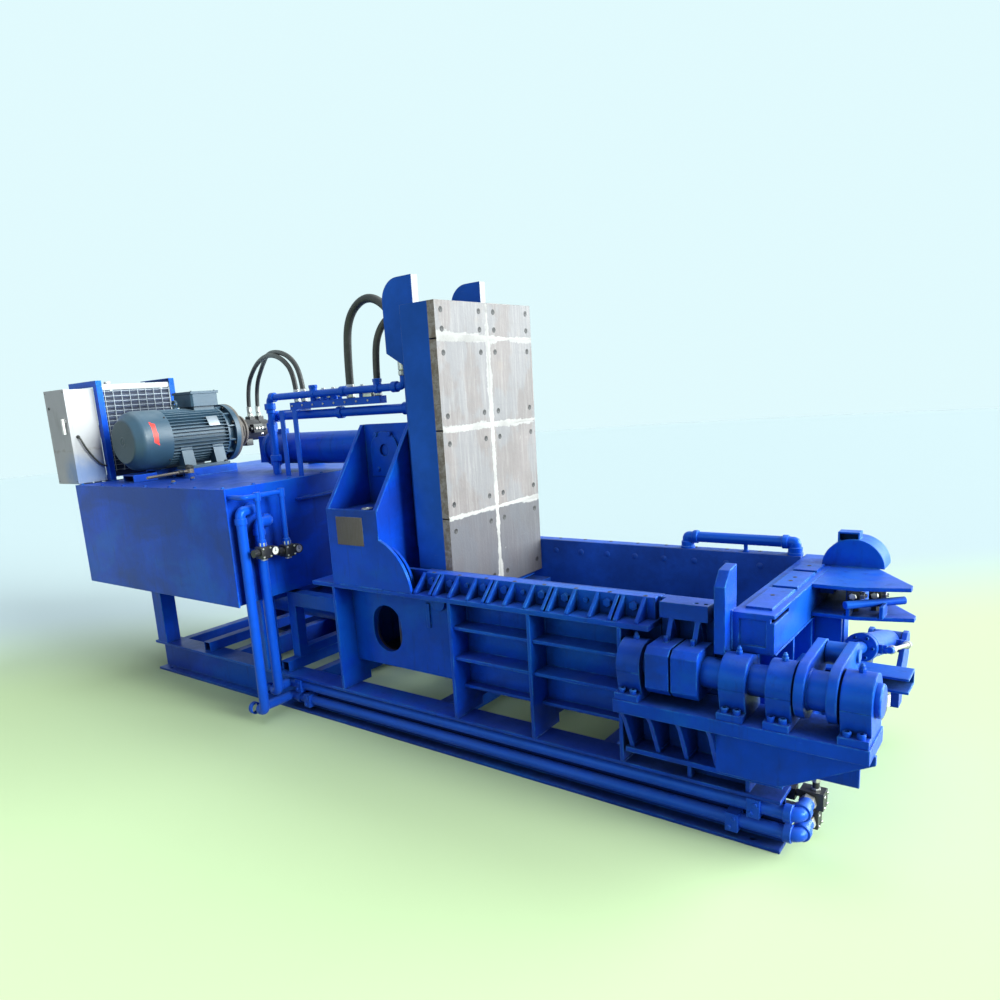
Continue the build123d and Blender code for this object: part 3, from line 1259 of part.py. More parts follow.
def hose(points, radius):
    """Add one hose and the ferrules over its two straight ends."""
    bends = widest_bends(points)
    print("hose of radius", radius, "bends", [round(bend) for bend in bends])
    pipe(points, radius, bends)
    for end, inward in ((points[0], points[1]), (points[-1], points[-2])):
        direction = (Vector(inward) - Vector(end)).normalized()
        with BuildSketch(Plane(origin=end, z_dir=direction)) as ferrule:
            Circle(radius + 4)
        extrude(ferrule.sketch, amount=ferrule_length)


with BuildPart() as pump_hoses:
    for y, end_x, peak in zip(pump_ports, pump_hose_ends, (1945, 1960)):
        hose(((motor_x, y, motor_z + 88), (motor_x, y, 1780), (motor_x + 190, y - 60, peak - 20),
              ((motor_x + end_x) / 2, 85, peak + 30), (end_x - 130, manifold_y + 30, peak - 20),
              (end_x, manifold_y, 1820), (end_x, manifold_y, manifold_top)), 14)
save(pump_hoses, "pump_hoses")

with BuildPart() as lid_hoses:
    hose(((valve_ports[0], manifold_y, manifold_top), (valve_ports[0], manifold_y, 1880),
          (-285, manifold_y - 14, 2080), (-120, manifold_y - 34, 2165), (40, upper_pipe_y + 6, 2080),
          (upper_end, upper_pipe_y, 1920), (upper_end, upper_pipe_y, upper_pipe_z + 50)), hose_radius)
    hose(((valve_ports[1], manifold_y, manifold_top), (valve_ports[1], manifold_y, 1850),
          (-100, manifold_y, 1980), (0, manifold_y, 2060), (90, manifold_y, 1960),
          (lower_end, manifold_y, 1830), (lower_end, manifold_y, lower_pipe_z + 64)), 18)
save(lid_hoses, "lid_hoses")

with BuildPart() as end_hoses:
    start = (elbow_x + 16, outlet_y + 55, run_upper + 64)
    end = (back + 290, channel_near + 50, channel_bottom)
    hose((start, (start[0], start[1], 300), (2090, -330, 380), (2180, -240, 410), (end[0], end[1], 450), end), 13)
save(end_hoses, "end_hoses")

# Cable from the cabinet's side to a clip on the cooler frame
with BuildPart() as cabinet_cable:
    clip_y = core_near - frame_angle - 2
    route = ((cabinet_right, cabinet_near + 45, 1560), (cabinet_right + 22, cabinet_near + 45, 1560),
             (cabinet_right + 24, cabinet_near + 65, 1500), (cabinet_right + 24, cabinet_near + 115, 1420),
             (cooler_x - 18, clip_y - 26, 1366), (cooler_x - 18, clip_y, 1366))
    pipe(route, 6, widest_bends(route))
save(cabinet_cable, "cabinet_cable")
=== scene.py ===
"""Recycling baler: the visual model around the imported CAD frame."""

import math
import random
from itertools import product

import bmesh
import bpy
from mathutils import Matrix, Vector


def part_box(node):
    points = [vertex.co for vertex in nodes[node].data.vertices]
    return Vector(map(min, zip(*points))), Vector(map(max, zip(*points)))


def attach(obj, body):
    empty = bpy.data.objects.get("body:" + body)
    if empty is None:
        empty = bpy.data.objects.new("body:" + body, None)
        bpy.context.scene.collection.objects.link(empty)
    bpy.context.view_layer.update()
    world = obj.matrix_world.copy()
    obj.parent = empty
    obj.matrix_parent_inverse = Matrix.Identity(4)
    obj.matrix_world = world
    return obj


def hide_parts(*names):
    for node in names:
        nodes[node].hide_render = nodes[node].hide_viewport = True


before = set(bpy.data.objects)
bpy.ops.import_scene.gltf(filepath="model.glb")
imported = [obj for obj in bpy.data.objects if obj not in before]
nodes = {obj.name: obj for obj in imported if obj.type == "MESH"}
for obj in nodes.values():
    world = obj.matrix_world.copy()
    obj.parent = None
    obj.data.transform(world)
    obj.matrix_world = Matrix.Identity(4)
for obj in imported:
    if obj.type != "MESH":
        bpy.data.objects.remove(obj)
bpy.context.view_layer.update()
MM = 0.001

# Camera at the photograph's viewing angle
azimuth = math.radians(39.8016)
elevation = math.radians(11.9089)
roll = math.radians(-4.3308)
focal_pixels = 769.07
principal_x = 441.02
principal_y = 557.28
image_size = 1000
sensor = 36
camera_place = Vector((2.657, -3.088, 1.65))


def add_object(name, data):
    """Put new data into the scene as an object."""
    thing = bpy.data.objects.new(name, data)
    bpy.context.scene.collection.objects.link(thing)
    return thing


def make_camera():
    """Create the camera and make it the scene's own."""
    back = Vector((math.sin(azimuth) * math.cos(elevation), -math.cos(azimuth) * math.cos(elevation),
                   math.sin(elevation)))
    level_right = Vector((math.cos(azimuth), math.sin(azimuth), 0))
    level_up = back.cross(level_right)
    right = level_right * math.cos(roll) + level_up * math.sin(roll)
    up = level_up * math.cos(roll) - level_right * math.sin(roll)
    data = bpy.data.cameras.new("camera")
    data.sensor_width = sensor
    data.lens = focal_pixels * sensor / image_size
    data.shift_x = (image_size / 2 - principal_x) / image_size
    data.shift_y = (principal_y - image_size / 2) / image_size
    data.clip_end = 200
    camera = add_object("camera", data)
    turn = Matrix((right, up, back)).transposed()
    camera.matrix_world = Matrix.Translation(camera_place) @ turn.to_4x4()
    bpy.context.scene.camera = camera


make_camera()


# Node helpers for the materials

def link(source, target):
    """Join an output socket to an input socket, or write a plain value there; a colour gets full opacity."""
    if isinstance(source, bpy.types.NodeSocket):
        target.id_data.links.new(source, target)
    else:
        target.default_value = (*source, 1) if isinstance(source, tuple) else source


def fill(node, values):
    """Link or write values to a node's named inputs."""
    for label, value in values.items():
        link(value, node.inputs[label])


def math_node(operation, first, second=0.0, clamp=False):
    """Give the result of one math operation, of which at least one value is a socket."""
    tree = (first if isinstance(first, bpy.types.NodeSocket) else second).id_data
    node = tree.nodes.new("ShaderNodeMath")
    node.operation = operation
    node.use_clamp = clamp
    link(first, node.inputs[0])
    link(second, node.inputs[1])
    return node.outputs[0]


def add(first, second, clamp=False):
    """Give the sum of two values."""
    return math_node("ADD", first, second, clamp)


def times(first, second, clamp=False):
    """Give the product of two values."""
    return math_node("MULTIPLY", first, second, clamp)


def shifted(value, pattern, share, clamp=False):
    """Add a share of a pattern to a value."""
    return add(value, times(pattern, share), clamp)


def gap(value, middle):
    """Give how far a value lies from a middle."""
    return math_node("ABSOLUTE", math_node("SUBTRACT", value, middle))


def ramp(value, low, high, to_low=0.0, to_high=1.0):
    """Map a value smoothly from one range onto another."""
    node = value.id_data.nodes.new("ShaderNodeMapRange")
    node.interpolation_type = "SMOOTHSTEP"
    fill(node, {"Value": value, "From Min": low, "From Max": high, "To Min": to_low, "To Max": to_high})
    return node.outputs["Result"]


def mix(factor, first, second):
    """Blend two colours."""
    node = factor.id_data.nodes.new("ShaderNodeMix")
    node.data_type = "RGBA"
    link(factor, node.inputs[0])
    link(first, node.inputs[6])
    link(second, node.inputs[7])
    return node.outputs[2]


def stain(shade, pattern, low, high, strength, colour):
    """Bring a colour in as a pattern runs from one value to another."""
    return mix(ramp(pattern, low, high, 0, strength), shade, colour)


def noise(vector, scale, detail=4.0, rough=0.55, distortion=0.0):
    """Give a noise pattern from 0 to 1."""
    node = vector.id_data.nodes.new("ShaderNodeTexNoise")
    fill(node, {"Vector": vector, "Scale": scale, "Detail": detail, "Roughness": rough,
                "Distortion": distortion})
    return node.outputs["Fac"]


def place(tree, stretch=(1, 1, 1), turn=(0, 0, 0)):
    """Give the object's own coordinates, stretched and turned."""
    node = tree.nodes.new("ShaderNodeMapping")
    node.inputs["Scale"].default_value = stretch
    node.inputs["Rotation"].default_value = turn
    link(tree.nodes.new("ShaderNodeTexCoord").outputs["Object"], node.inputs["Vector"])
    return node.outputs["Vector"]


def parts(vector):
    """Give the three parts of a vector as separate values."""
    node = vector.id_data.nodes.new("ShaderNodeSeparateXYZ")
    link(vector, node.inputs[0])
    return node.outputs


def axes(tree):
    """Give the three object coordinates as separate values."""
    return parts(tree.nodes.new("ShaderNodeTexCoord").outputs["Object"])


def normal(tree):
    """Give the surface's own direction."""
    return tree.nodes.new("ShaderNodeNewGeometry").outputs["Normal"]


def scaled(colour, factor):
    """Make a colour lighter or darker."""
    return tuple(min(1, c * factor) for c in colour)


# The wear that all surfaces share

materials = {}
splash_height = 0.32
splash_colour = (0.045, 0.05, 0.06)


def mottled(colour, variation, broad, middle):
    """Give a colour with lighter and darker areas and darker blotches."""
    shade = mix(ramp(broad, 0.3, 0.7), scaled(colour, 1 - variation), scaled(colour, 1 + variation))
    return mix(ramp(middle, 0.35, 0.75, 0, 0.35), shade, scaled(colour, 1 - 1.6 * variation))


def edge_wear_and_highlight(tree, rounded, middle, wear):
    """Give the mask of scuffed edges and a few scratches: wear on most finishes, a painted highlight along
    the edges on the blue paint.
    """
    facing = tree.nodes.new("ShaderNodeVectorMath")
    facing.operation = "DOT_PRODUCT"
    link(rounded, facing.inputs[0])
    link(normal(tree), facing.inputs[1])
    sharpness = ramp(facing.outputs["Value"], 0.985, 0.88)
    scuffed = times(times(sharpness, ramp(middle, 0.42, 0.62)), wear, True)
    scratches = noise(place(tree, (9, 9, 90), (0.4, 0.3, 0.2)), 1.3, 3, 0.7)
    scratched = times(ramp(scratches, 0.7, 0.76), 0.35 * wear, True)
    return math_node("MAXIMUM", scuffed, scratched)


def settled_dust(tree, middle, dust):
    """Give the dust on faces that look upward."""
    upward = ramp(parts(normal(tree))[2], 0.55, 0.95)
    return times(times(upward, ramp(middle, 0.3, 0.7, 0.25, 1.0)), dust, True)


def floor_splash(tree, broad, dust):
    """Give the dirt near the floor."""
    low = times(ramp(axes(tree)[2], splash_height, 0.0), ramp(broad, 0.25, 0.75, 0.1, 0.75))
    return times(low, min(1.0, 1.4 * dust), True)


def surface(key, name, colour, wear_and_highlight_colour, rough=0.5, metallic=0.0, coat=0.0, variation=0.3, wear=0.5,
            dust=0.3, dust_colour=(0.3, 0.31, 0.33), grain=200, grain_depth=0.0003, edge=0.004,
            extra=None, specular=0.5, gloss_tint=(1, 1, 1)):
    """Make one worn surface under a key: mottled colour, scuffed edges (a painted edge highlight on the blue
    paint), dust on top faces and bump.
    """
    material = bpy.data.materials.new(name)
    material.use_nodes = True
    material.diffuse_color = (*colour, 1)
    tree = material.node_tree
    tree.nodes.clear()
    output = tree.nodes.new("ShaderNodeOutputMaterial")
    shader = tree.nodes.new("ShaderNodeBsdfPrincipled")
    link(shader.outputs[0], output.inputs[0])
    here = place(tree)
    broad = noise(here, 2.3, 6, 0.6)
    middle = noise(here, 14, 6, 0.65)
    fine = noise(here, 85, 4, 0.6)
    rounded = tree.nodes.new("ShaderNodeBevel")
    rounded.samples = 4
    rounded.inputs["Radius"].default_value = edge
    settled = settled_dust(tree, middle, dust)
    shade = mottled(colour, variation, broad, middle)
    # Edge and scratch colour: wear on most finishes; on the blue paint it is a painted highlight along the
    # edges.
    shade = mix(edge_wear_and_highlight(tree, rounded.outputs[0], middle, wear), shade, wear_and_highlight_colour)
    shade = mix(settled, shade, dust_colour)
    shade = mix(floor_splash(tree, broad, dust), shade, splash_colour)
    roughness = shifted(rough - 0.08, fine, 0.18)
    roughness = shifted(roughness, settled, 0.5, True)
    bump = tree.nodes.new("ShaderNodeBump")
    fill(bump, {"Distance": grain_depth, "Strength": 0.55, "Height": noise(here, grain, 3, 0.6),
                "Normal": rounded.outputs[0]})
    if extra:
        shade, roughness = extra(tree, shade, roughness)
    fill(shader, {"Metallic": metallic, "Coat Weight": coat, "Coat Roughness": 0.18,
                  "Specular IOR Level": specular, "Specular Tint": gloss_tint, "Base Color": shade,
                  "Roughness": roughness, "Normal": bump.outputs[0]})
    materials[key] = material


# Surface details of single materials; places and sizes in metres

plate_seams = (1.0889, 1.4907, 1.8926)
filler_colour = (0.31, 0.3, 0.3)
mark_y = -0.547
mark_z = 1.548
cowl_face = -0.653
header_foot = 1.833
bare_horn_height = 2.09
overspray_x = -2.17
overspray_z = 1.33
smear_z = 1.475


def seam_distance(y, z):
    """Give the distance from the nearest joint between the lid's wear plates."""
    nearest = math_node("ABSOLUTE", y)
    for seam in plate_seams:
        leaning = shifted(z, y, 0.03)
        nearest = math_node("MINIMUM", nearest, gap(leaning, seam))
    return nearest


def rubbed_steel(tree, shade, z):
    """Patches, rub marks and stains on the wear plates' faces, with a darker bottom row."""
    patches = ramp(noise(place(tree, (1, 1.3, 0.8)), 4.2, 4, 0.55), 0.46, 0.54)
    shade = mix(times(patches, 0.55), shade, (0.145, 0.148, 0.165))
    rubbed = noise(place(tree, (6, 34, 2.2)), 2.0, 5, 0.7)
    shade = stain(shade, rubbed, 0.42, 0.8, 0.6, (0.27, 0.25, 0.25))
    sweeps = noise(place(tree, (6, 3, 60)), 1.6, 5, 0.7)
    shade = stain(shade, sweeps, 0.5, 0.8, 0.4, (0.11, 0.11, 0.12))
    stains = noise(place(tree), 2.6, 5, 0.65, 0.4)
    shade = stain(shade, stains, 0.55, 0.72, 0.45, (0.2, 0.155, 0.125))
    return stain(shade, z, plate_seams[0] + 0.002, plate_seams[0] - 0.002, 0.7, (0.042, 0.043, 0.06))


def filler_smears(tree, shade, roughness):
    """White filler smeared along the joints between the lid's wear plates, and rubbed plate faces."""
    y, z = axes(tree)[1:3]
    ragged = noise(place(tree), 26, 7, 0.78, 0.5)
    width = ramp(noise(place(tree), 3.4, 3, 0.5), 0.36, 0.62, -0.004, 0.022)
    rough_edge = times(math_node("SUBTRACT", ragged, 0.5), 0.05)
    reach = math_node("SUBTRACT", add(seam_distance(y, z), rough_edge), width)
    blobs = noise(place(tree, (1, 2.4, 1.1)), 7.0, 3, 0.55, 0.8)
    smear = ramp(reach, 0.004, -0.003)
    smear = math_node("MAXIMUM", smear, ramp(blobs, 0.735, 0.75, 0, 0.85))
    front = ramp(parts(normal(tree))[0], 0.5, 0.8)
    sides = mix(ramp(ragged, 0.4, 0.6), (0.16, 0.12, 0.095), (0.3, 0.27, 0.25))
    shade = mix(front, sides, rubbed_steel(tree, shade, z))
    smear = times(smear, front, True)
    return mix(smear, shade, filler_colour), shifted(roughness, smear, 0.3, True)


def brushed_paint_and_corner_shade(tree, shade, roughness):
    """Cloudy, streaked brush painting, with painted shade darkening the corners, where it also stands for
    dirt.
    """
    clouds = noise(place(tree, (1, 1, 1.6)), 1.25, 5, 0.6, 0.6)
    shade = stain(shade, clouds, 0.5, 0.62, 0.6, (0.011, 0.034, 0.27))
    shade = stain(shade, clouds, 0.5, 0.38, 0.45, (0.006, 0.125, 0.58))
    streaks = noise(place(tree, (7, 7, 1.1)), 3.0, 5, 0.72)
    shade = stain(shade, streaks, 0.52, 0.74, 0.5, (0.01, 0.028, 0.2))
    # Painted shade: occlusion darkens corners and crevices towards near black, meant also as dirt there.
    corners = tree.nodes.new("ShaderNodeAmbientOcclusion")
    corners.samples = 4
    corners.inputs["Distance"].default_value = 0.12
    ragged = math_node("SUBTRACT", noise(place(tree), 19, 5, 0.7), 0.5)
    open_area = shifted(corners.outputs["AO"], ragged, 0.5)
    corner_shade_and_dirt = ramp(open_area, 0.62, 0.18, 0, 0.88)
    return mix(corner_shade_and_dirt, shade, (0.006, 0.01, 0.03)), shifted(roughness, corner_shade_and_dirt, 0.3, True)


def red_mark_and_grille_shade(tree, shade, roughness):
    """A dab of red marking paint on the side of the fan cowl, and a cowl face darkened with painted shade
    where the grille's dark inside shows.
    """
    x, y, z = axes(tree)
    slanted = shifted(z, math_node("SUBTRACT", y, mark_y), 0.5)
    ragged = times(math_node("SUBTRACT", noise(place(tree), 38, 4), 0.5), 0.022)
    inside = times(ramp(add(gap(y, mark_y), ragged), 0.018, 0.014),
                   ramp(add(gap(slanted, mark_z), ragged), 0.066, 0.06))
    near = times(inside, ramp(x, -1.75, -1.7), True)
    # Painted shade: the cowl's front face is darkened to stand for the shade seen through the grille.
    shade = stain(shade, y, cowl_face, cowl_face - 0.007, 0.7, (0.022, 0.04, 0.06))
    return mix(near, shade, (0.75, 0.03, 0.02)), roughness


def bare_header(tree, shade, roughness):
    """The bare alloy header above the cooler's dark fins."""
    z = axes(tree)[2]
    shade = mix(ramp(z, header_foot, header_foot + 0.004), shade, (0.55, 0.57, 0.58))
    rows = math_node("ABSOLUTE", math_node("SINE", times(z, 98.17)))
    return stain(shade, rows, 0.8, 0.95, 0.5, (0.004, 0.008, 0.02)), roughness


def bare_edges(tree, shade, roughness):
    """Unpainted front edges at the tops of the horns."""
    ragged = shifted(axes(tree)[2], noise(place(tree), 30, 4), 0.06)
    high = ramp(ragged, bare_horn_height, bare_horn_height + 0.02)
    bare = times(ramp(parts(normal(tree))[0], 0.6, 0.9), high, True)
    return mix(bare, shade, (0.3, 0.28, 0.26)), roughness


def rust_foot(tree, shade, roughness):
    """Dark scrap marks and rust low down in the chamber."""
    ragged = shifted(axes(tree)[2], noise(place(tree, (1, 1, 0.4)), 7, 5, 0.6), -0.42)
    shade = stain(shade, ragged, 0.36, 0.28, 0.9, (0.035, 0.026, 0.022))
    streaks = noise(place(tree, (30, 30, 1.2)), 1.6, 4, 0.7)
    return stain(shade, streaks, 0.62, 0.75, 0.6, (0.02, 0.02, 0.03)), roughness


def overspray(tree, shade, roughness):
    """Blue overspray, grey soiling and a brown smear on the cabinet."""
    x, _, z = axes(tree)
    near_x = times(add(x, -overspray_x), 4.0)
    near_z = times(add(z, -overspray_z), 4.6)
    spread = math_node("SQRT", add(times(near_x, near_x), times(near_z, near_z)))
    soft = shifted(spread, noise(place(tree), 16, 4), 0.5)
    shade = stain(shade, soft, 0.95, 0.3, 0.7, (0.1, 0.22, 0.5))
    soiled = noise(place(tree, (1, 1, 0.5)), 5, 5, 0.7)
    shade = stain(shade, soiled, 0.5, 0.66, 0.35, (0.24, 0.23, 0.22))
    brown = shifted(gap(z, smear_z), noise(place(tree), 22, 4), 0.1)
    return stain(shade, brown, 0.06, 0.035, 0.5, (0.2, 0.14, 0.09)), roughness


def brushed(tree, shade, roughness):
    """Long fine scratches of rolled or rubbed steel."""
    lines = noise(place(tree, (40, 40, 2)), 6, 4, 0.7)
    shade = stain(shade, lines, 0.35, 0.75, 0.45, (0.16, 0.16, 0.17))
    return shade, shifted(roughness, lines, 0.15, True)


def rubber_wrap(tree, shade, roughness):
    """The wrapped cover of a hydraulic hose, dusty along its length."""
    grey = noise(place(tree), 9, 5, 0.7)
    return stain(shade, grey, 0.4, 0.8, 0.6, (0.09, 0.085, 0.08)), roughness


# Finishes, and the CAD nodes that have them

azure = (0.08, 0.55, 1.0)
blue = (0.0045, 0.06, 0.57)
# The blue paint's edge colour (0.05, 0.29, 0.8) is a painted azure highlight along its edges and scratches.
surface("paint", "blue_paint", blue, (0.05, 0.29, 0.8), rough=0.34, coat=0.06, variation=0.22, wear=1.0,
        dust=0.36, dust_colour=(0.09, 0.17, 0.42), grain=110, grain_depth=0.001, edge=0.008, specular=0.34,
        gloss_tint=azure, extra=brushed_paint_and_corner_shade)
surface("pipe_paint", "pipe_paint", (0.005, 0.078, 0.6), (0.1, 0.28, 0.66), rough=0.32, coat=0.1,
        variation=0.18, dust=0.28, dust_colour=(0.1, 0.22, 0.5), grain=140, grain_depth=0.0007, specular=0.4,
        gloss_tint=azure)
surface("old_paint", "chamber_paint", (0.008, 0.082, 0.5), (0.08, 0.13, 0.28), variation=0.35, wear=0.9,
        dust=0.5, dust_colour=(0.06, 0.07, 0.1), grain=70, grain_depth=0.0014, specular=0.25, extra=rust_foot)
surface("horn_paint", "horn_paint", (0.012, 0.088, 0.48), (0.16, 0.26, 0.5), rough=0.36, coat=0.06,
        variation=0.22, wear=0.9, dust=0.4, dust_colour=(0.09, 0.17, 0.42), grain=110, grain_depth=0.0009,
        specular=0.3, gloss_tint=azure, extra=bare_edges)
surface("plate", "wear_plate_steel", (0.138, 0.118, 0.119), (0.5, 0.5, 0.49), rough=0.55, metallic=0.15,
        variation=0.16, wear=0.9, dust=0.2, grain=90, grain_depth=0.0012, extra=filler_smears)
surface("bright", "bright_steel", (0.62, 0.61, 0.58), (0.8, 0.8, 0.78), rough=0.3, metallic=0.9,
        variation=0.15, wear=0.4, dust=0.15, grain=260, edge=0.002, extra=brushed)
surface("filler", "joint_filler", (0.31, 0.3, 0.295), (0.2, 0.19, 0.19), rough=0.8, variation=0.25, wear=0.6,
        dust=0.1, grain=150, grain_depth=0.002, edge=0.002)
surface("tag", "bare_tag", (0.105, 0.082, 0.078), (0.34, 0.31, 0.29), metallic=0.3, variation=0.25, wear=0.9,
        dust=0.2, grain_depth=0.0005, extra=brushed)
surface("motor", "motor_paint", (0.026, 0.066, 0.108), (0.15, 0.2, 0.23), rough=0.42, variation=0.16,
        wear=0.6, dust=0.45, dust_colour=(0.17, 0.21, 0.25), grain_depth=0.0008, extra=red_mark_and_grille_shade)
surface("iron", "cast_iron", (0.11, 0.095, 0.085), (0.3, 0.27, 0.24), rough=0.68, metallic=0.1,
        variation=0.28, wear=0.6, dust=0.5, dust_colour=(0.26, 0.23, 0.2), grain=110, grain_depth=0.0014)
surface("cabinet", "cabinet_paint", (0.4, 0.4, 0.42), (0.33, 0.32, 0.3), rough=0.42, variation=0.06,
        wear=0.45, dust_colour=(0.42, 0.4, 0.36), grain=320, grain_depth=0.0004, extra=overspray)
surface("alloy", "cooler_alloy", (0.24, 0.27, 0.31), (0.75, 0.76, 0.78), rough=0.4, metallic=0.7,
        variation=0.12, grain=260, edge=0.0015)
surface("core", "cooler_fins", (0.004, 0.014, 0.05), (0.12, 0.17, 0.24), metallic=0.2, wear=0.6,
        grain_depth=0.0006, edge=0.002, extra=bare_header)
surface("black", "black_parts", (0.012, 0.012, 0.014), (0.14, 0.14, 0.14), rough=0.42, dust=0.25,
        dust_colour=(0.09, 0.09, 0.09), grain=260, edge=0.002)
surface("lever", "lever_steel", (0.17, 0.145, 0.125), (0.42, 0.38, 0.33), metallic=0.75, wear=0.7, dust=0.25,
        grain=180, grain_depth=0.0007, edge=0.002)
surface("screw", "dark_screws", (0.03, 0.028, 0.031), (0.14, 0.13, 0.125), metallic=0.3, wear=0.6, dust=0.2,
        grain_depth=0.0004, edge=0.0015)
surface("rubber", "hose_rubber", (0.018, 0.018, 0.019), (0.1, 0.095, 0.09), variation=0.25, wear=0.4,
        dust=0.35, dust_colour=(0.11, 0.1, 0.09), grain=420, grain_depth=0.0006, edge=0.0015,
        extra=rubber_wrap)
surface("grey_hose", "grey_hose", (0.2, 0.2, 0.2), (0.38, 0.38, 0.37), rough=0.45, variation=0.2, wear=0.4,
        grain=420, grain_depth=0.0005, edge=0.0015)
surface("brass", "yellow_cap", (0.7, 0.36, 0.02), (0.75, 0.55, 0.2), rough=0.42, variation=0.15, wear=0.4,
        dust=0.2, grain=240, edge=0.0015)
surface("dial", "dial_face", (0.8, 0.8, 0.77), (0.5, 0.5, 0.48), rough=0.35, variation=0.05, wear=0.1,
        dust=0.1, grain=300, grain_depth=0.0001, edge=0.001)

finishes = {
    "old_paint": ("wall_liner_plates", "chamber_floor", "ram_hold_down", "main_ram"),
    "plate": ("lid_wear_plates",),
    "horn_paint": ("lid_horns", "lid_frame"),
    "bright": ("main_rod", "lid_rod"),
    "motor": ("motor_body", "motor_cowl", "motor_terminal_box"),
    "iron": ("bellhousing", "motor_rotor"),
    "screw": ("pump",),
    "cabinet": ("control_cabinet", "cabinet_door"),
    "alloy": ("cooler_guard",),
    "core": ("cooler_core", "cooler_fan"),
    "black": ("end_valves", "gauge_knob_a", "gauge_knob_b", "cooler_fan_shroud"),
    "dial": ("cabinet_latch",),
    "lever": ("hand_valve_lever",),
    "pipe_paint": ("skid_pipes", "header_pipes", "gauge_manifold", "pipe_clamps", "valve_manifold"),
}


def smooth_cad(node):
    """Shade a CAD node smoothly over its curved faces and crisply at its corners."""
    for polygon in node.data.polygons:
        polygon.use_smooth = True
    weld = node.modifiers.new("weld", "WELD")
    weld.merge_threshold = 0.00002
    split = node.modifiers.new("split", "EDGE_SPLIT")
    split.split_angle = math.radians(32)


def dress_nodes():
    """Give every CAD node its finish."""
    chosen = {name: finish for finish, names in finishes.items() for name in names}
    for name, node in nodes.items():
        node.data.materials.clear()
        node.data.materials.append(materials[chosen.get(name, "paint")])
        smooth_cad(node)


dress_nodes()


# Directions, and places on the machine in mm

RIGHT = (1, 0, 0)
LEFT = (-1, 0, 0)
BACK = (0, 1, 0)
FRONT = (0, -1, 0)
UP = (0, 0, 1)
motor_x = -1780
motor_z = 1510
shaft_y = -540
shaft_z = 625
deck_z = 526
rail_top = 850


# Mesh helpers for the pieces

def basis(axis):
    """Give an axis with two directions across it."""
    along = Vector(axis).normalized()
    side = along.orthogonal().normalized()
    return along, side, along.cross(side)


def turns(count, first=0):
    """Give the cosine and sine of evenly spaced angles from a first one in degrees."""
    angles = [math.radians(first + 360 * k / count) for k in range(count)]
    return [(math.cos(angle), math.sin(angle)) for angle in angles]


def capped(*points):
    """Close a profile of (distance along, radius) pairs with a flat disc at both ends."""
    return [(points[0][0], 0), *points, (points[-1][0], 0)]


def lathe(mesh, origin, axis, profile, steps=6):
    """Turn a profile of (distance along, radius) pairs in mm round an axis, in six steps for a hexagon."""
    along, side, other = basis(axis)
    base = Vector(origin) * MM
    rings = []
    for distance, radius in profile:
        centre = base + along * distance * MM
        if radius <= 0:
            rings.append([mesh.verts.new(centre)])
            continue
        ring = []
        for i in range(steps):
            angle = 2 * math.pi * i / steps
            outward = side * math.cos(angle) + other * math.sin(angle)
            ring.append(mesh.verts.new(centre + outward * radius * MM))
        rings.append(ring)
    for first, second in zip(rings, rings[1:]):
        for i in range(steps):
            j = (i + 1) % steps
            corners = ((first, i), (second, i), (second, j), (first, j))
            mesh.faces.new(dict.fromkeys(ring[k % len(ring)] for ring, k in corners))


def collar(mesh, centre, axis, half, bore, radius, chamfer, steps=28):
    """A short sleeve round a pipe, with both rims chamfered."""
    rim = radius - chamfer
    flat = half - chamfer
    profile = [(-half, bore), (-half, rim), (-flat, radius), (flat, radius), (half, rim), (half, bore)]
    lathe(mesh, centre, axis, profile, steps)


def brick(mesh, x, y, z, chamfer=2.0):
    """Add a box with chamfered edges between three pairs of coordinates in mm."""
    verts = bmesh.ops.create_cube(mesh, size=1)["verts"]
    size = Vector((abs(x[1] - x[0]), abs(y[1] - y[0]), abs(z[1] - z[0]))) * MM
    centre = Vector((x[0] + x[1], y[0] + y[1], z[0] + z[1])) * MM / 2
    for vert in verts:
        vert.co = Vector(c * s for c, s in zip(vert.co, size)) + centre
    edges = list({edge for vert in verts for edge in vert.link_edges})
    bmesh.ops.bevel(mesh, geom=edges, offset=chamfer * MM, segments=2, affect="EDGES", profile=0.6)


def turned_brick(mesh, pivot, x, y, z, degrees, chamfer):
    """Add a box given about a pivot, turned about the Y axis through it."""
    before = set(mesh.verts)
    brick(mesh, x, y, z, chamfer)
    fresh = [vert for vert in mesh.verts if vert not in before]
    bmesh.ops.rotate(mesh, verts=fresh, cent=(0, 0, 0), matrix=Matrix.Rotation(math.radians(degrees), 3, "Y"))
    bmesh.ops.translate(mesh, verts=fresh, vec=Vector(pivot) * MM)


def weld(mesh, start, end, radius):
    """Add a rippled weld bead between two points in mm."""
    along = Vector(end) - Vector(start)
    steps = max(4, int(along.length / 6))
    ripples = [(along.length * i / steps, radius * (0.8 + 0.2 * (i % 2))) for i in range(steps + 1)]
    lathe(mesh, start, along, capped(*ripples), 8)


def add_piece(name, data, finish, body):
    """Make an object that rides on a body from a mesh or a curve."""
    data.materials.append(materials[finish])
    piece = add_object(name, data)
    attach(piece, body)
    return piece


def make_piece(name, mesh, finish, body="frame"):
    """Turn a bmesh into a piece, smooth over its curves and crisp at its corners."""
    bmesh.ops.recalc_face_normals(mesh, faces=mesh.faces)
    data = bpy.data.meshes.new(name)
    mesh.to_mesh(data)
    mesh.free()
    data.shade_smooth()
    data.set_sharp_from_angle(angle=math.radians(34))
    return add_piece(name, data, finish, body)


# Hoses: one smooth spline each through the points of its route, with fittings at both ends

def spline_piece(name, points, radius, finish, body="frame"):
    """Make a round cord or pipe from its route's points in metres."""
    data = bpy.data.curves.new(name, "CURVE")
    data.dimensions = "3D"
    data.resolution_u = 24
    data.bevel_depth = radius
    data.bevel_resolution = 6
    data.use_fill_caps = True
    spline = data.splines.new("NURBS")
    spline.points.add(len(points) - 1)
    for target, point in zip(spline.points, points):
        target.co = (*point, 1)
    spline.order_u = 3
    spline.use_endpoint_u = True
    return add_piece(name, data, finish, body)


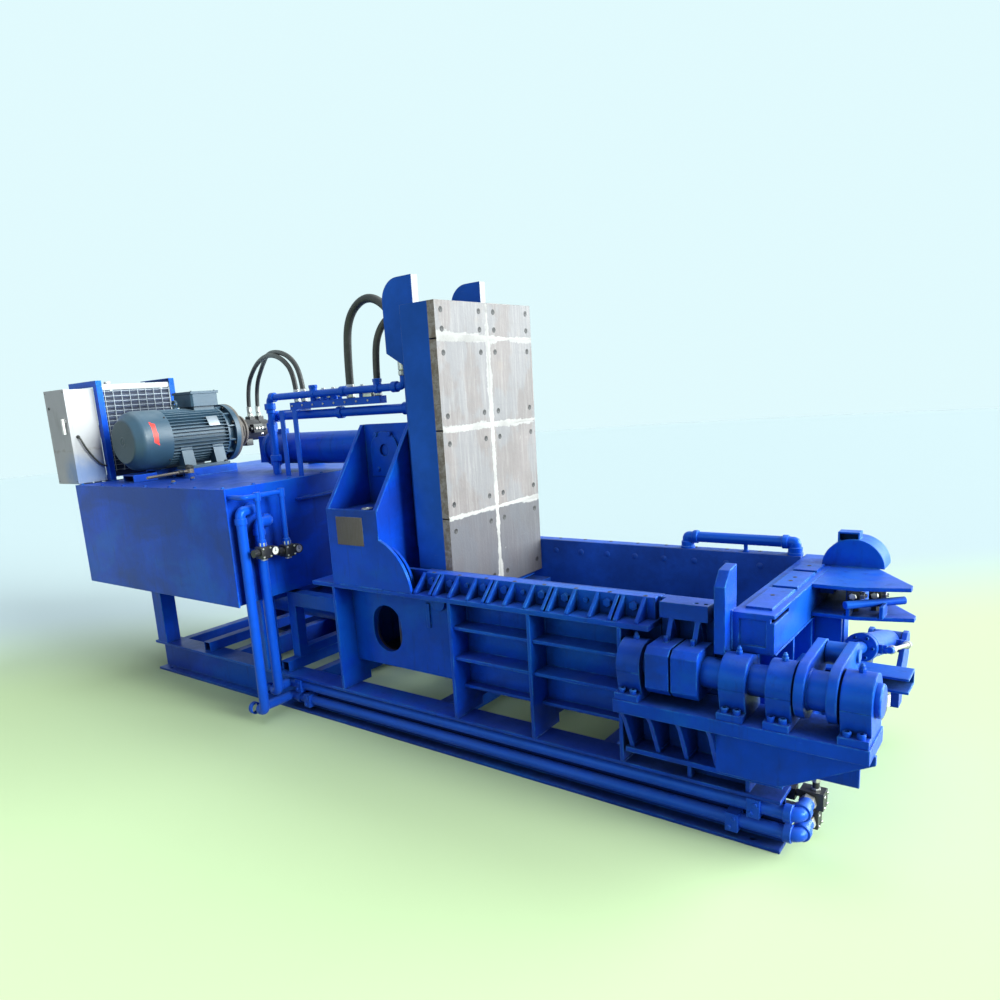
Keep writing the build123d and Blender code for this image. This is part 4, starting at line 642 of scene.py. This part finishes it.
def hose_fitting(mesh, end, inward, radius):
    """A crimped ferrule with a nut at one end of a hose; the end in metres, the hose's radius in mm."""
    origin = Vector(end) / MM
    outer = radius + 3.4
    waist = radius + 2.2
    crimp = [(26, radius - 2), (27, radius + 2), (30, outer)]
    for groove in range(5):
        start = 33 + groove * 7.5
        crimp += [(start, outer), (start + 1.2, waist), (start + 3, waist), (start + 4.2, outer)]
    crimp += [(69, outer), (70, radius + 2.0), (70, radius - 1)]
    lathe(mesh, origin, inward, crimp, 28)
    flat = radius + 3.8
    rim = flat - 2
    nut = [(2, 0), (2, rim), (4, flat), (22, flat), (24, rim), (24, radius - 3), (27, radius - 3)]
    lathe(mesh, origin, inward, nut)
    lathe(mesh, origin, inward, [(-2, 0), (-2, radius - 2), (3, radius - 2)], 20)


def make_hose(name, points, radius_mm, replaced, finish="rubber"):
    piece = spline_piece(name, points, radius_mm * MM, finish)
    mesh = bmesh.new()
    hose_fitting(mesh, points[0], Vector(points[1]) - Vector(points[0]), radius_mm)
    hose_fitting(mesh, points[-1], Vector(points[-2]) - Vector(points[-1]), radius_mm)
    fittings = make_piece(name + "_fittings", mesh, "bright")
    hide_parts(replaced)


pump_hose_a = ((-1.78, 0.29, 1.598), (-1.78, 0.29, 1.78), (-1.59, 0.23, 1.925), (-1.271, 0.085, 1.975),
               (-0.892, -0.115, 1.925), (-0.762, -0.145, 1.82), (-0.762, -0.145, 1.668))
pump_hose_b = ((-1.78, 0.363, 1.598), (-1.78, 0.363, 1.78), (-1.59, 0.303, 1.94), (-1.2415, 0.085, 1.99),
               (-0.833, -0.115, 1.94), (-0.703, -0.145, 1.82), (-0.703, -0.145, 1.668))
lid_hose_a = ((-0.33, -0.145, 1.668), (-0.33, -0.145, 1.88), (-0.285, -0.159, 2.08), (-0.12, -0.179, 2.165),
              (0.04, -0.194, 2.08), (0.1, -0.2, 1.92), (0.1, -0.2, 1.755))
lid_hose_b = ((-0.132, -0.145, 1.668), (-0.132, -0.145, 1.85), (-0.1, -0.145, 1.98), (0.0, -0.145, 2.06),
              (0.09, -0.145, 1.96), (0.112, -0.145, 1.83), (0.112, -0.145, 1.661))
end_hose = ((2.04, -0.37, 0.213), (2.04, -0.37, 0.3), (2.09, -0.33, 0.38), (2.18, -0.24, 0.41),
            (2.215, -0.2, 0.45), (2.215, -0.2, 0.545))
door_cable = ((-2.152, -0.75, 1.56), (-2.13, -0.75, 1.56), (-2.128, -0.73, 1.5), (-2.128, -0.68, 1.42),
              (-2.128, -0.631, 1.366), (-2.128, -0.605, 1.366))
make_hose("pump_hose_a", pump_hose_a, 14, "pump_hoses")
make_hose("pump_hose_b", pump_hose_b, 14, "pump_hoses")
make_hose("lid_hose_a", lid_hose_a, 21, "lid_hoses")
make_hose("lid_hose_b", lid_hose_b, 18, "lid_hoses")
make_hose("end_hose", end_hose, 13, "end_hoses", "grey_hose")
cable = spline_piece("cabinet_lead", door_cable, 0.006, "rubber")
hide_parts("cabinet_cable")


# Fasteners

def socket_screw(mesh, origin, axis, radius, height):
    """A cap screw with a hexagon socket."""
    socket = radius * 0.55
    foot = height * 0.35
    head = [(-1, radius), (height - 2, radius), (height, radius - 2), (height, socket)]
    lathe(mesh, origin, axis, head, 20)
    lathe(mesh, origin, axis, [(height, socket), (foot, radius * 0.52), (foot, 0)])


def hex_bolt(mesh, origin, axis, radius, height):
    """A hexagon bolt on a washer."""
    washer = radius * 1.35
    head = [(2, radius), (height - 1.5, radius), (height, radius * 0.85), (height + 0.6, 0)]
    lathe(mesh, origin, axis, [(-1, washer), (2, washer), (2.4, radius)], 24)
    lathe(mesh, origin, axis, head)


def countersunk(mesh, origin, axis, radius):
    """A flush screw with a turned rim and a hexagon socket."""
    socket = radius * 0.5
    rim = [(-2, radius), (0.9, radius), (1.2, radius - 1), (0.5, radius - 2.2), (0.7, socket)]
    lathe(mesh, origin, axis, rim, 22)
    lathe(mesh, origin, axis, [(0.7, socket), (0.2, radius * 0.42), (0.2, 0)])


# The lid's wear plates

def lid_screws():
    """Countersunk screws near the corners of every wear plate."""
    mesh = bmesh.new()
    low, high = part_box("lid_wear_plates")
    rows = [low.z / MM] + [seam / MM for seam in plate_seams] + [high.z / MM]
    for bottom, top in zip(rows, rows[1:]):
        inset = 40 if top - bottom < 200 else 62
        for y, z in product((-340, -58, 58, 340), (bottom + inset, top - inset)):
            countersunk(mesh, (high.x / MM, y, z), RIGHT, 13)
    make_piece("lid_plate_screws", mesh, "screw", "lid")


def filler_strip(mesh, start, end, across, widths, chance):
    """A ragged strip of filler with a raised middle, between two points in mm on a plate face."""
    along = Vector(end) - Vector(start)
    steps = max(6, int(along.length / 7))
    rows = []
    drift = 0.5
    for i in range(steps + 1):
        drift = min(1.0, max(0.0, drift + chance.uniform(-0.16, 0.16)))
        half = widths[0] + (widths[1] - widths[0]) * drift
        middle = Vector(start) + along * (i / steps)
        left = middle - Vector(across) * (half + chance.uniform(0, 5))
        right = middle + Vector(across) * (half + chance.uniform(0, 5))
        ridge = middle + Vector((1.4 + chance.uniform(0, 0.8), 0, 0))
        rows.append([mesh.verts.new(spot * MM) for spot in (left, ridge, right)])
    for first, second in zip(rows, rows[1:]):
        for side in (0, 1):
            mesh.faces.new((first[side], second[side], second[side + 1], first[side + 1]))


def joint_filler():
    """White filler pressed into the joints between the lid's wear plates."""
    mesh = bmesh.new()
    chance = random.Random(11)
    low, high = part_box("lid_wear_plates")
    face = high.x / MM + 0.1
    for seam in plate_seams:
        z = seam / MM
        filler_strip(mesh, (face, -383, z), (face, 383, z), UP, (3, 13), chance)
    filler_strip(mesh, (face, 0, low.z / MM + 3), (face, 0, high.z / MM - 3), BACK, (3, 15), chance)
    make_piece("joint_filler", mesh, "filler", "lid")


# The chamber and the turn-out

def block_screws():
    """Cap screws on the pillow blocks' feet and grease nipples on their tops."""
    mesh = bmesh.new()
    for start, width in ((1405, 92), (1782, 88), (1935, 80), (2158, 88)):
        for share in (0.27, 0.73):
            socket_screw(mesh, (start + share * width, -627, deck_z), UP, 13, 17)
        nipple = (start + width / 2, shaft_y, 710)
        lathe(mesh, nipple, UP, [(-2, 12), (12, 12), (13, 10)])
        lathe(mesh, nipple, UP, [(12, 8), (22, 8), (24, 5), (28, 5), (30, 0)], 16)
    make_piece("block_screws", mesh, "paint")


# Where a weld bead starts, its direction and its length
frame_seams = (
    ((1782, -491, 704), UP, 142), ((1743, -432, 704), UP, 142), ((1926, -18, 714), BACK, 486),
    ((1926, -18, 826), BACK, 486), ((1926, -486, 702), BACK, 972), ((171, -531, 768), UP, 228),
    ((171, -472, 768), UP, 180), ((-168, -551, 767), RIGHT, 338), ((-629, -801, 662), UP, 594),
    ((-629, -350, 1143), BACK, 1088), ((-1678, -420, 1267), BACK, 399), ((-1570, -420, 1267), BACK, 399),
    ((1932, 257, 535), UP, 165), ((2037, -18, 732), BACK, 84), ((2147, -18, 732), BACK, 84),
)


def frame_welds():
    """Weld beads along the frame's visible joints."""
    mesh = bmesh.new()
    for start, direction, length in frame_seams:
        weld(mesh, start, Vector(start) + Vector(direction) * length, 4.5)
    weld(mesh, (171, -548, 1142), (171, -262, 1526), 4.5)
    for x in (570, 985, 1390):
        weld(mesh, (x + 1, -431, 634), (x + 1, -431, 744), 4)
        weld(mesh, (x - 17, -431, 492), (x - 17, -431, 618), 4)
        weld(mesh, (x + 1, -549, 202), (x + 1, -431, 202), 4)
    for x in (1415, 1520, 1630, 1740):
        weld(mesh, (x + 17, -530, 284), (x + 17, -445, 284), 4)
        weld(mesh, (x + 17, -618, 449), (x + 17, -445, 449), 4)
    make_piece("frame_welds", mesh, "paint")


def turnout_welds():
    """Weld rings beside the lever plates and beads along the collars' arms."""
    mesh = bmesh.new()
    for x, direction in ((2054, RIGHT), (2120, LEFT)):
        lathe(mesh, (x, shaft_y, shaft_z), direction, [(0, 64), (0, 71), (3, 70), (6, 66), (6, 64)], 40)
    for x in (1555, 1573, 1654, 1672):
        weld(mesh, (x, -451, 700), (x, -492, 786), 4)
    make_piece("turnout_welds", mesh, "paint", "turnout")


def horn_welds():
    """Weld beads at the feet of the lid's horns."""
    mesh = bmesh.new()
    for y in (-287.5, -242.5, 242.5, 287.5):
        weld(mesh, (270, y, 820), (270, y, 2050), 4)
    make_piece("horn_welds", mesh, "paint", "lid")


def liner_bolts():
    """Low domed bolt heads on the chamber's wall plates."""
    mesh = bmesh.new()
    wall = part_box("wall_liner_plates")[1].y / MM - 15
    for side, end in ((-1, 1400), (1, 1740)):
        for x in range(560, end, 150):
            lathe(mesh, (x, side * wall, 795), (0, -side, 0), [(-2, 15), (0.5, 15), (2.2, 11), (3, 0)], 18)
    make_piece("liner_bolts", mesh, "old_paint")


def rail_plugs():
    """Dark screw plugs set into the rails' top faces."""
    mesh = bmesh.new()
    for side, end in ((-1, 1480), (1, 1740)):
        for x in range(410, end, 148):
            countersunk(mesh, (x, side * 447, rail_top), UP, 9)
    for y in (-260, -30, 30, 240):
        countersunk(mesh, (1852, y, rail_top), UP, 8)
    make_piece("rail_plugs", mesh, "screw")


def name_tag():
    """A bare riveted plate on the tower's front."""
    mesh = bmesh.new()
    brick(mesh, (-104, 74), (-554, -551), (971, 1109), 1)
    for x, z in product((-96, 66), (979, 1101)):
        lathe(mesh, (x, -553.5, z), FRONT, [(-1, 4.5), (1.2, 4), (2, 2), (2.2, 0)], 14)
    make_piece("tower_tag", mesh, "tag")


def ledge_ring():
    """A bare steel ring on the tower's ledge."""
    mesh = bmesh.new()
    profile = [(0, 13), (0, 26), (2, 28), (5, 28), (7, 25), (7, 14), (5, 12), (3, 12), (3, 0)]
    lathe(mesh, (62, -496, 1141), UP, profile, 32)
    make_piece("ledge_ring", mesh, "bright")


def turnout_feed():
    """A steel feed line along the turn-out cylinder from its near port to its tail port."""
    along = Vector((0, -0.968968, 0.247186))
    anchor = Vector((2087, 640, 440))
    across = Vector(RIGHT)
    blue, steel, gland = bmesh.new(), bmesh.new(), bmesh.new()
    for distance in (110, 555):
        port = anchor + along * distance + across * 66
        lathe(blue, port, RIGHT, capped((0, 17), (2, 19), (14, 19), (16, 17), (16, 12), (34, 12), (37, 9)))
        lathe(blue, port + across * 25, along, capped((-18, 13), (18, 13)), 20)
    make_piece("turnout_ports", blue, "paint", "turnout_cylinder")
    near = anchor + along * 535 + across * 91
    line = capped((0, 15), (2, 17), (26, 17), (28, 15), (28, 10), (70, 12), (72, 8), (340, 8), (342, 12),
                  (378, 12), (378, 17), (403, 17), (405, 15))
    lathe(steel, near, -along, line, 20)
    make_piece("turnout_line", steel, "bright", "turnout_cylinder")
    for start in (556, 600):
        ring = [(0, 48), (0, 54), (2, 56), (8, 56), (10, 54), (10, 48)]
        lathe(gland, anchor + along * start, along, ring, 48)
    for cosine, sine in turns(6):
        side = across * cosine + across.cross(along) * sine
        socket_screw(gland, anchor + along * 615 + side * 42, along, 6, 6)
    make_piece("turnout_gland", gland, "paint", "turnout_cylinder")


def rib_fittings():
    """Two check valves with steel plugs that stand on the lower end rib."""
    black, steel = bmesh.new(), bmesh.new()
    for x, y in ((2056, 62), (2122, 104)):
        lathe(black, (x, y, 729), UP, [(0, 0), (0, 18), (44, 18), (46, 16)])
        brick(black, (x - 22, x + 22), (y - 20, y + 20), (773, 812), 4)
        plug = capped((0, 14), (2, 16), (15, 16), (17, 14), (17, 8), (24, 8))
        lathe(steel, (x + 20, y, 792), RIGHT, plug)
        lathe(steel, (x, y, 811), UP, capped((0, 12), (1, 14), (7, 14), (8, 12)))
        lathe(steel, (x, y - 19, 792), FRONT, capped((0, 12), (1, 14), (10, 14), (12, 12)))
    make_piece("rib_valves", black, "black")
    make_piece("rib_plugs", steel, "bright")


# Pipes, valves and gauges

def gauge(black, dial, centre, radius=24):
    """A small pressure gauge that faces to the right: black case, pale face and hand."""
    x, y, z = centre
    rim = radius + 1.5
    case = [(-8, 0), (-8, radius - 3), (-5, rim), (20, rim), (24, radius), (24, radius - 3), (20, radius - 4)]
    lathe(black, centre, RIGHT, case, 32)
    lathe(dial, centre, RIGHT, [(19, radius - 2), (20.5, radius - 3.5), (20.5, 0)], 32)
    brick(black, (x + 20, x + 21.6), (y - 1, y + 1), (z - 3, z + radius - 8), 0.3)
    lathe(black, (x + 20, y, z), RIGHT, [(0, 3), (2, 3), (2.6, 0)], 12)


def gauge_fittings():
    """Black valve bodies, gauges and steel nuts on the gauge manifold."""
    black, dial, nuts = bmesh.new(), bmesh.new(), bmesh.new()
    x = -505
    for y, z in ((-700, 935), (-545, 915)):
        brick(black, (-535, -475), (y - 32, y + 32), (z - 34, z + 29), 4)
        lathe(black, (x, y - 31, z), FRONT, [(-2, 17), (3, 17), (5, 14), (5, 7)], 24)
        lathe(black, (-533, y, z), LEFT, [(-2, 14), (10, 14), (12, 11), (20, 11), (21, 0)], 20)
        for dy, dz in product((-22, 22), (-24, 19)):
            socket_screw(nuts, (-475, y + dy, z + dz), RIGHT, 5, 5)
        top_nut = [(0, 0), (0, 20), (2, 22), (18, 22), (20, 20), (20, 14), (28, 14), (30, 0)]
        lathe(nuts, (x, y, z + 29), UP, top_nut)
        lathe(nuts, (x, y + 31, z - 4), BACK, [(-1, 11), (8, 11), (9, 9), (9, 0)])
        gauge(black, dial, (x, y + 60, z - 4))
        brick(nuts, (x - 12, x + 12), (y - 14, y + 14), (z - 46, z - 33), 2)
    make_piece("gauge_bodies", black, "black")
    make_piece("gauge_dials", dial, "dial")
    make_piece("gauge_nuts", nuts, "bright")


def end_fittings():
    """Nuts, screws and a yellow cap on the end valves, and pipe collars beside the elbows."""
    nuts, cap, collars = bmesh.new(), bmesh.new(), bmesh.new()
    upper, lower = 149, 73
    valve_x, valve_y = 2024, -370
    for z, shift in ((upper, 16), (lower, 0)):
        lathe(nuts, (valve_x, -428, z), BACK, capped((0, 26), (2, 29), (24, 29), (26, 26)))
        lathe(nuts, (valve_x + shift, valve_y, z + 34), UP, capped((0, 15), (1, 16), (8, 16), (9, 13)))
        for dy, dz in product((-20, 20), (-20, 22)):
            socket_screw(nuts, (2056 + shift, valve_y + dy, z + dz), RIGHT, 5, 5)
        for x, y, axis in ((1990, -520, RIGHT), (valve_x, -486, BACK)):
            collar(collars, (x, y, z), axis, 14, 25, 33, 2, 32)
    lathe(cap, (1954, -422, 79), BACK, capped((0, 10), (2, 17), (20, 17), (22, 15)), 24)
    for x, y, z in ((-614, -670, 1147), (-614, -575, 1075), (-669, -760, lower), (-669, -655, upper),
                    (-560, -520, upper), (-560, -520, lower)):
        collar(collars, (x, y, z), RIGHT, 13, 25, 33, 2, 32)
    make_piece("end_nuts", nuts, "bright")
    make_piece("end_cap", cap, "brass")
    make_piece("pipe_collars", collars, "pipe_paint")


def manifold_details():
    """Coils, plugs and screws on the valve manifold."""
    dark, steel = bmesh.new(), bmesh.new()
    y = -145
    for x in (-620, -540, -460, -240):
        lathe(dark, (x, y, 1690), UP, [(-1, 17), (0, 19), (34, 19), (36, 17), (36, 8)], 28)
        lathe(steel, (x, y, 1725), UP, capped((0, 10), (8, 10), (9, 8)))
        brick(dark, (x - 11, x + 11), (-180, -158), (1696, 1718), 2)
    for x in (-585, -500, -415):
        lathe(steel, (x, y, 1679), UP, capped((0, 12), (1, 13), (9, 13), (10, 11)))
    brick(steel, (-222, -160), (-168, -122), (1667, 1694), 3)
    for x in range(-780, -100, 85):
        socket_screw(steel, (x, -171, 1649), FRONT, 6, 6)
    make_piece("manifold_coils", dark, "black")
    make_piece("manifold_plugs", steel, "bright")


def header_couplings():
    """Sockets and couplings on the two pipes above the lid's cylinder and on their drops."""
    mesh = bmesh.new()
    lower_y, upper_y = -145, -200
    upper_z = 1705
    for x in (-955, -420, 60):
        collar(mesh, (x, lower_y, 1597), RIGHT, 20, 23, 32, 3)
    for x in (-905, -330, 40):
        collar(mesh, (x, upper_y, upper_z), RIGHT, 18, 18, 27, 3)
    for x, y, z in ((-1010, lower_y, 1545), (-1010, lower_y, 1330), (-940, upper_y, 1655),
                    (-940, upper_y, 1360), (112, lower_y, 1640)):
        collar(mesh, (x, y, z), UP, 18, 22, 32, 3)
    for x in (-560, -80):
        cross = capped((0, 21), (30, 21), (32, 24), (46, 24), (48, 20))
        lathe(mesh, (x, upper_y, upper_z), UP, cross)
    make_piece("header_couplings", mesh, "pipe_paint")


def rail_pipe():
    """Sockets of the pipe that hops over the far rail, and the pipe's thicker skin."""
    mesh = bmesh.new()
    y, top = 427.5, 905
    near, far = 1266, 1748
    for x in (near, far):
        lathe(mesh, (x, y, 849), UP, [(0, 0), (0, 33), (10, 33), (13, 29), (17, 29), (17, 22)], 28)
        lathe(mesh, (x, y, 862), UP, [(0, 21), (0, 30), (20, 30), (23, 26), (24, 20)], 28)
    for x, direction in ((1294, RIGHT), (1720, LEFT)):
        lathe(mesh, (x, y, top), direction, [(0, 20), (0, 29), (3, 31), (22, 31), (25, 28), (25, 20)], 28)
    lathe(mesh, (1536, y, 849), UP, [(0, 0), (0, 14), (6, 14), (8, 9), (44, 9), (46, 0)], 20)
    make_piece("rail_sockets", mesh, "pipe_paint")
    route = ((near, 858), (near, 893), (1268, 903), (1280, top), (1507, top), (1734, top), (1746, 903),
             (far, 893), (far, 858))
    path = [Vector((x, y, z)) * MM for x, z in route]
    spline_piece("rail_pipe_cover", path, 0.025, "pipe_paint")


# The power pack

def motor_details():
    """Grille rings, tag, flange bolts and cover screws of the motor."""
    paint, tag, bolts = bmesh.new(), bmesh.new(), bmesh.new()
    axis = Vector((motor_x, 0, motor_z))
    cowl = (motor_x, -663, motor_z)
    hub = [(-1, 20), (0, 31), (3, 30), (3, 22), (0.5, 21), (0.5, 10), (3, 9), (4, 0)]
    lathe(paint, cowl, FRONT, hub, 40)
    rings = [(1 + (step % 2), 20 + 4.5 * step) for step in range(25)]
    lathe(paint, cowl, FRONT, [(-1, 16)] + rings + [(-1, 130)], 64)
    turned_brick(tag, axis, (-34, 34), (-160, -78), (174, 178), 61, 0.8)
    for cosine, sine in turns(8, 22.5):
        spot = axis + Vector((171 * cosine, 0, 171 * sine))
        hex_bolt(bolts, spot + Vector((0, 30, 0)), FRONT, 10, 9)
        hex_bolt(bolts, spot + Vector((0, 82, 0)), BACK, 10, 10)
    for cosine, sine in turns(4, 45):
        out = Vector((cosine, 0, sine))
        socket_screw(bolts, axis + Vector((0, -446, 0)) + out * 179.5, out, 6, 5)
    for x, y in product((-88, 88), (-208, -38)):
        socket_screw(bolts, (motor_x + x, y, 1786), UP, 6, 4)
    for x, y in product((-174, 174), (-365, -75)):
        hex_bolt(bolts, (motor_x + x, y, 1333), UP, 11, 10)
    for cosine, sine in turns(6):
        hex_bolt(bolts, axis + Vector((92 * cosine, 174, 92 * sine)), FRONT, 7, 7)
    make_piece("cowl_rings", paint, "motor")
    make_piece("motor_tag", tag, "alloy")
    make_piece("motor_bolts", bolts, "screw")


def pump_details():
    """Control block, cover screws and plugs of the pump."""
    dark, steel = bmesh.new(), bmesh.new()
    axis = Vector((motor_x, 0, motor_z))
    block_x, block_z = -1696, 1518
    brick(dark, (-1716, -1676), (232, 312), (1488, 1548), 4)
    lathe(dark, (block_x, 312, block_z), BACK, capped((0, 18), (30, 18), (34, 14)))
    lathe(dark, (block_x, 232, block_z), FRONT, capped((0, 14), (14, 14), (16, 12)))
    brick(dark, (-1822, -1738), (205, 262), (1405, 1450), 5)
    for cosine, sine in turns(6, 30):
        socket_screw(steel, axis + Vector((54 * cosine, 410, 54 * sine)), BACK, 7, 8)
        stud = axis + Vector((62 * cosine, 322, 62 * sine))
        lathe(steel, stud, BACK, [(0, 8), (20, 8), (22, 6), (22, 0)])
    for x, y in product((-19, 19), (275, 305, 348, 378)):
        socket_screw(steel, (motor_x + x, y, 1598), UP, 4.5, 5)
    for y in (250, 276, 300):
        lathe(steel, (-1676, y, block_z), RIGHT, capped((0, 9), (8, 9), (9, 7)))
    make_piece("pump_control", dark, "black")
    make_piece("pump_screws", steel, "bright")


def tank_details():
    """Cover bolts, breather cap and plugs on the tank."""
    bolts, cap = bmesh.new(), bmesh.new()
    cover_z = 1265
    for x, y in product(range(-2140, -640, 244), (-776, 776)):
        hex_bolt(bolts, (x, y, cover_z), UP, 9, 7)
    for y in range(-600, 700, 240):
        hex_bolt(bolts, (-654, y, cover_z), UP, 9, 7)
    breather_x, breather_y = -1250, 380
    dome = [(-3, 66), (6, 66), (9, 63), (11, 40), (16, 36), (18, 0)]
    lathe(cap, (breather_x, breather_y, 1339), UP, dome, 40)
    for cosine, sine in turns(24):
        rib = (breather_x + 65 * cosine, breather_y + 65 * sine, 1326)
        lathe(cap, rib, UP, capped((0, 3), (16, 3)))
    for x, y in ((-1320, -650), (-1370, -490)):
        lathe(cap, (x, y, 1274), UP, capped((0, 12), (8, 12), (10, 10)))
    make_piece("tank_bolts", bolts, "paint")
    make_piece("tank_caps", cap, "lever")


def lever_hub():
    """Black hub knob and grip of the tank's hand valve."""
    mesh = bmesh.new()
    lathe(mesh, (-1530, -400, 1318), UP, capped((0, 22), (6, 27), (16, 27), (24, 20), (28, 8)), 28)
    grip = [(0, 8), (0, 12), (6, 14), (34, 14), (38, 12), (38, 8)]
    lathe(mesh, (-1512, -460, 1309), (105, -345, 0), grip, 20)
    make_piece("lever_hub", mesh, "black", "valve_lever")


def cabinet_lock():
    """Lock, corner screws and cable gland of the cabinet's door."""
    mesh = bmesh.new()
    face = -795
    lathe(mesh, (-2375, face, 1744), FRONT, [(-1, 9), (2, 9), (4, 7), (4, 0)], 20)
    for x, z in product((-2396, -2164), (1286, 1836)):
        lathe(mesh, (x, face, z), FRONT, [(-1, 3.5), (1, 3.5), (1.6, 0)], 12)
    gland = [(0, 0), (0, 11), (6, 11), (7, 9), (14, 9), (15, 6.5)]
    lathe(mesh, (-2153, -750, 1560), RIGHT, gland, 18)
    make_piece("cabinet_lock", mesh, "black", "door")


lid_screws()
joint_filler()
block_screws()
frame_welds()
turnout_welds()
horn_welds()
name_tag()
ledge_ring()
gauge_fittings()
end_fittings()
turnout_feed()
rib_fittings()
motor_details()
pump_details()
manifold_details()
tank_details()
rail_plugs()
header_couplings()
rail_pipe()
liner_bolts()
lever_hub()
cabinet_lock()


# Light, floor and backdrop

light_colour = (0.93, 0.97, 1.0)
light_strength = 0.23
sky_colour = (0.755, 0.96, 0.99)
near_tint = (0.6, 0.77, 0.45)
far_tint = (0.49, 0.6, 0.63)
bounce_tint = (0.22, 0.24, 0.24)
floor_radius = 26


def seen_rays(tree):
    """Give 1 for the rays that show the backdrop: from the camera, mirrors and glass."""
    path = tree.nodes.new("ShaderNodeLightPath")
    seen = math_node("MAXIMUM", path.outputs["Is Camera Ray"], path.outputs["Is Transmission Ray"])
    return math_node("MAXIMUM", seen, path.outputs["Is Glossy Ray"])


def world_light():
    """Even soft light, with a pale sky for the camera, mirrors and glass."""
    world = bpy.data.worlds.new("studio")
    bpy.context.scene.world = world
    world.use_nodes = True
    tree = world.node_tree
    tree.nodes.clear()
    output = tree.nodes.new("ShaderNodeOutputWorld")
    light = tree.nodes.new("ShaderNodeBackground")
    link(light_colour, light.inputs[0])
    link(light_strength, light.inputs[1])
    sky = tree.nodes.new("ShaderNodeBackground")
    link(sky_colour, sky.inputs[0])
    blend = tree.nodes.new("ShaderNodeMixShader")
    link(seen_rays(tree), blend.inputs[0])
    link(light.outputs[0], blend.inputs[1])
    link(sky.outputs[0], blend.inputs[2])
    link(blend.outputs[0], output.inputs[0])


def sun(name, energy, place_at, spread, colour):
    """Add a sun that shines from a place towards the origin, with its spread in degrees."""
    data = bpy.data.lights.new(name, "SUN")
    data.energy = energy
    data.color = colour
    data.angle = math.radians(spread)
    lamp = add_object(name, data)
    lamp.location = place_at
    lamp.rotation_mode = "QUATERNION"
    lamp.rotation_quaternion = Vector(place_at).to_track_quat("Z", "Y")


def make_floor():
    """A wide pale floor that fades into the backdrop and keeps the object's shadow."""
    mesh = bmesh.new()
    bmesh.ops.create_circle(mesh, cap_ends=True, segments=96, radius=floor_radius)
    data = bpy.data.meshes.new("floor")
    mesh.to_mesh(data)
    mesh.free()
    material = bpy.data.materials.new("floor")
    material.use_nodes = True
    tree = material.node_tree
    shader = tree.nodes["Principled BSDF"]
    x, y = axes(tree)[0:2]
    away = add(times(x, -0.64), times(y, 0.768))
    tint = mix(ramp(away, 0.4, 2.6), near_tint, far_tint)
    tint = mix(seen_rays(tree), bounce_tint, tint)
    link(tint, shader.inputs["Base Color"])
    shader.inputs["Roughness"].default_value = 1.0
    shader.inputs["Specular IOR Level"].default_value = 0.05
    data.materials.append(material)
    add_object("floor", data)


world_light()
sun("rim", 6.5, (3.8, 3.4, 1.4), 50, (0.92, 1.0, 1.0))
sun("key", 5.2, (5, 0.2, 1.45), 30, (0.92, 1.0, 0.96))
sun("top", 0.8, (0.3, 0.2, 5), 40, (0.95, 0.98, 1.0))
sun("front", 0.6, (-0.8, -4, 1.2), 50, (0.9, 0.97, 1.0))
make_floor()
bpy.context.scene.view_settings.view_transform = "Standard"
